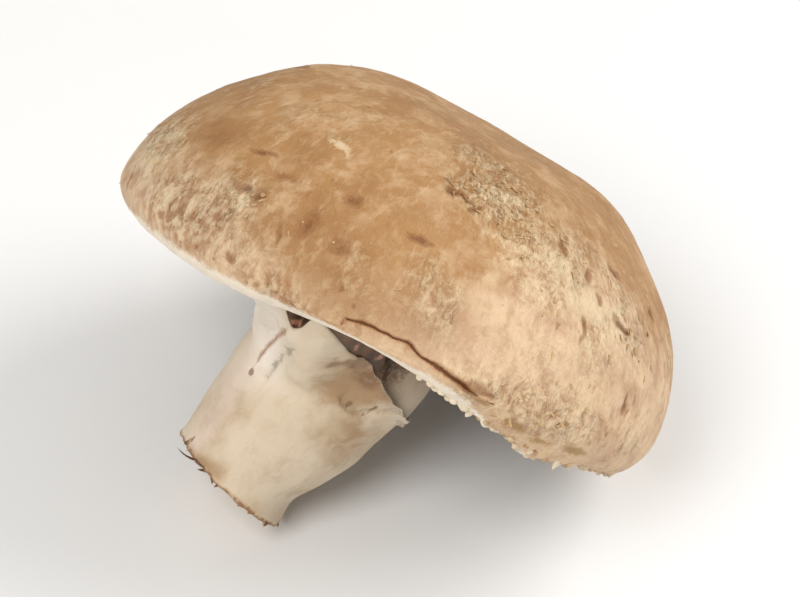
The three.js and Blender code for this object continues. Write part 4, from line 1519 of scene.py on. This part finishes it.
stemColours = {
    "cream": (0.57, 0.440, 0.290),
    "light": (0.66, 0.545, 0.400),
    "pink": (0.74, 0.595, 0.500),
    "white": (0.84, 0.765, 0.670),
    "tan": (0.37, 0.225, 0.110),
    "shade": (0.40, 0.310, 0.225),
    "bruise": (0.27, 0.24, 0.15),
    "brown": (0.20, 0.090, 0.035),
    "shadeDarkRed": (0.065, 0.024, 0.009),
    "shadeRedBrown": (0.180, 0.080, 0.032),
    "blush": (0.60, 0.300, 0.200),
    "rust": (0.40, 0.215, 0.115),
    "cutLight": (0.72, 0.58, 0.40),
    "cutDark": (0.50, 0.32, 0.17),
}

stemSurface = {
    "bumpStrength": 0.5,
    "bumpDistance": 0.0006,
    "Subsurface_Weight": 0.18,
    "Subsurface_Radius": (0.006, 0.004, 0.0025),
    "Subsurface_Scale": 0.6,
    "Specular_IOR_Level": 0.4,
}


# Smooth cream flesh, softly mottled, pinkish on one side with a painted highlight that whitens the lit strip
# beside it, and tan on the other, partly a tan tone and partly painted shade. Bruises, the torn line and
# brown spots come over it as ragged patches. The hidden inside and the gap under the veil are darkened as
# painted shade, and the cut end browned.
def stemMaterial():
    n = Nodes("stemFlesh")
    c = stemColours
    place = n.objectPlace()
    swirled = n.bent(place, 150, 0.003)
    fibre = n.bent(n.mark("fibre", "Vector"), 0.25, 1.6)
    broad = n.noise(swirled, 75, 4, 0.55)
    mottle = n.noise(swirled, 260, 5, 0.62)
    strands = n.noise(n.stretched(fibre, (1, 1, 0.22)), 0.8, 4, 0.6)
    fine = n.noise(n.stretched(fibre, (1, 1, 0.30)), 3.0, 4, 0.6)
    colour = n.blend(n.between(broad, 0.36, 0.64), c["cream"], c["light"])
    colour = n.blend(n.times(n.mark("pink"), 0.6), colour, c["pink"])
    # painted highlight: the lit strip on the left is made whiter
    colour = n.blend(n.times(n.mark("white"), 0.75), colour, c["white"])
    # the tan is partly the flesh's own tone and partly painted shade on the shaded side and in the hollow
    tan = n.plus(n.mark("tan"), n.between(broad, 0.35, 0.65, 0.20, -0.25),
                 n.between(mottle, 0.3, 0.7, -0.18, 0.18))
    colour = n.blend(n.times(n.between(tan, 0.0, 1.0), 0.9), colour, c["tan"])
    # painted shade: the deep spots below the torn edge and the painted shadow under the skirt's fold, in
    # red-brown
    deep = n.plus(n.mark("deep"), n.swing(mottle, 0.9))
    colour = n.blend(n.times(n.between(deep, 0.1, 0.9), 0.7), colour, c["shadeRedBrown"])
    colour = n.blend(n.between(strands, 0.56, 0.74, 0, 0.22), colour, c["tan"])
    colour = n.blend(n.between(mottle, 0.56, 0.72, 0, 0.35), colour, c["light"])
    # painted shade: the hidden inside is darkened towards the shade colour
    colour = n.blend(n.times(n.mark("inside"), 0.6), colour, c["shade"])

    raggedEdge = n.plus(n.swing(mottle, 1.1), n.swing(fine, 0.8), 0.5)
    colour = n.patched(colour, "bruise", raggedEdge, 0.55, 0.25, 0.7, c["bruise"])
    tear = n.plus(n.mark("tear"), n.swing(fine, 0.9))
    colour = n.blend(n.between(tear, 1.1, 0.4, 0, 0.75), colour, c["rust"])
    colour = n.blend(n.between(tear, 0.40, 0.15, 0, 0.75), colour, c["brown"])
    colour = n.patched(colour, "brown", raggedEdge, 0.50, 0.16, 0.7, c["brown"])
    # painted shade: the inside and the gap under the veil in dark red-brown
    pocketShade = n.patch(n.mark("pocketShade"), raggedEdge, 0.45, 0.25)
    stain = n.blend(n.between(mottle, 0.4, 0.65), c["shadeDarkRed"], c["shadeRedBrown"])
    colour = n.blend(n.times(pocketShade, 0.9), colour, stain)
    colour = n.patched(colour, "blush", raggedEdge, 0.5, 0.25, 0.8, c["blush"])

    cut = n.blend(n.between(mottle, 0.38, 0.62), c["cutLight"], c["cutDark"])
    colour = n.blend(n.times(n.mark("cut"), 0.85), colour, cut)
    colour = n.patched(colour, "cutRim", raggedEdge, 0.78, 0.22, 0.8, c["brown"])
    height = n.plus(n.times(strands, 0.25), n.times(fine, 0.18), n.times(mottle, 0.55))
    roughness = n.between(mottle, 0.3, 0.7, 0.45, 0.65)
    return n.finish(colour, roughness, height, **stemSurface)


# The floor, the lights and the camera.

stage = {
    "floorSize": 6.0,
    "floorHeight": -0.00002,  # just under the mushroom, so that the two never share a plane
    "floorColour": (0.80, 0.795, 0.785),
    "hazeColour": (0.82, 0.81, 0.795),
    "floorRoughness": 0.8,
    "keyPlace": (-0.40, -0.50, 0.80),
    "keySize": 0.5,
    "keyPower": 5.9,
    "fillPlace": (0.62, 0.04, 0.68),
    "fillSize": 0.7,
    "fillPower": 5.4,
    "lightsAim": (0, 0, 0.035),
    "skyColour": (1, 0.99, 0.97),
    "skyStrength": 0.50,
}

floorSurface = {
    "bumpStrength": 0.02,
    "bumpDistance": 0.0005,
}

view = {
    "place": (-0.06004, -0.40560, 0.42000),
    "pitch": 38.5,  # degrees below level of the wide view that this one is a part of
    "aim": (129.5, 103.5, 1200.0),  # right of, below and in front of the middle of that view
    "lens": 150,
    "nearest": 0.01,
}


# A round light of that size and power that points at the mushroom.
def addLight(name, place, size, power):
    light = bpy.data.lights.new(name, "AREA")
    light.shape, light.size, light.energy = "DISK", size, power
    lamp = bpy.data.objects.new(name, light)
    lamp.location = place
    lamp.rotation_mode = "QUATERNION"
    lamp.rotation_quaternion = (Vector(stage["lightsAim"]) - Vector(place)).to_track_quat("-Z", "Y")
    bpy.context.scene.collection.objects.link(lamp)


# The camera stands where the wide view was taken from, and turns by the shortest way to face the mushroom.
def addCamera():
    pitch = view["pitch"] * degree
    ahead = Vector((0, np.cos(pitch), -np.sin(pitch)))
    level = ahead.to_track_quat("-Z", "Y")
    right, below, front = view["aim"]
    aim = level @ Vector((right, -below, -front))
    turn = ahead.rotation_difference(aim.normalized())
    camera = bpy.data.objects.new("camera", bpy.data.cameras.new("camera"))
    camera.data.lens = view["lens"]
    camera.data.clip_start = view["nearest"]
    camera.location = view["place"]
    camera.rotation_mode = "QUATERNION"
    camera.rotation_quaternion = turn @ level
    bpy.context.scene.collection.objects.link(camera)
    bpy.context.scene.camera = camera


# A wide pale floor, a soft key light from the left, a weak fill from the right and an even sky.
def addStage():
    half = stage["floorSize"] / 2
    corners = [(x * half, y * half, stage["floorHeight"]) for x, y in ((-1, -1), (1, -1), (1, 1), (-1, 1))]
    mesh = bpy.data.meshes.new("floor")
    mesh.from_pydata(corners, [], [(0, 1, 2, 3)])
    n = Nodes("paleFloor")
    haze = n.noise(n.objectPlace(), 40, 2)
    colour = n.blend(n.between(haze, 0.3, 0.7, 0, 0.3), stage["floorColour"], stage["hazeColour"])
    mesh.materials.append(n.finish(colour, stage["floorRoughness"], haze, **floorSurface))
    floor = bpy.data.objects.new("floor", mesh)
    bpy.context.scene.collection.objects.link(floor)
    addLight("key", stage["keyPlace"], stage["keySize"], stage["keyPower"])
    addLight("fill", stage["fillPlace"], stage["fillSize"], stage["fillPower"])
    world = bpy.data.worlds.new("sky")
    world.use_nodes = True
    background = world.node_tree.nodes["Background"]
    background.inputs["Color"].default_value = (*stage["skyColour"], 1)
    background.inputs["Strength"].default_value = stage["skyStrength"]
    bpy.context.scene.world = world
    bpy.context.scene.view_settings.view_transform = "Standard"


# The pieces.

skinFinish = skinMaterial()
stemFinish = stemMaterial()
flakeFinish, crumbFinish, fibreFinish = [crumbMaterial(name) for name in crumbColours]

capFlesh = makeCap(skinFinish)
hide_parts("cap")
print("cap made,", len(capFlesh.data.polygons), "faces")

for piece, slot in (
    (makeFlakes(flakeFinish), "cap_skin"),
    (makeRimBeads(crumbFinish), "cap_skin"),
    (makeCutFibres(fibreFinish), "stem_flesh"),
):
    print(piece.name, "made,", len(piece.data.polygons), "faces")

gillFan = makeGills(gillMaterial())
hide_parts("gills")
print("gills made,", len(gillFan.data.polygons), "faces")

stemFlesh = makeStem(stemFinish)
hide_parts("stem")
print("stem made,", len(stemFlesh.data.polygons), "faces")

addStage()
addCamera()
print("stage and camera made")
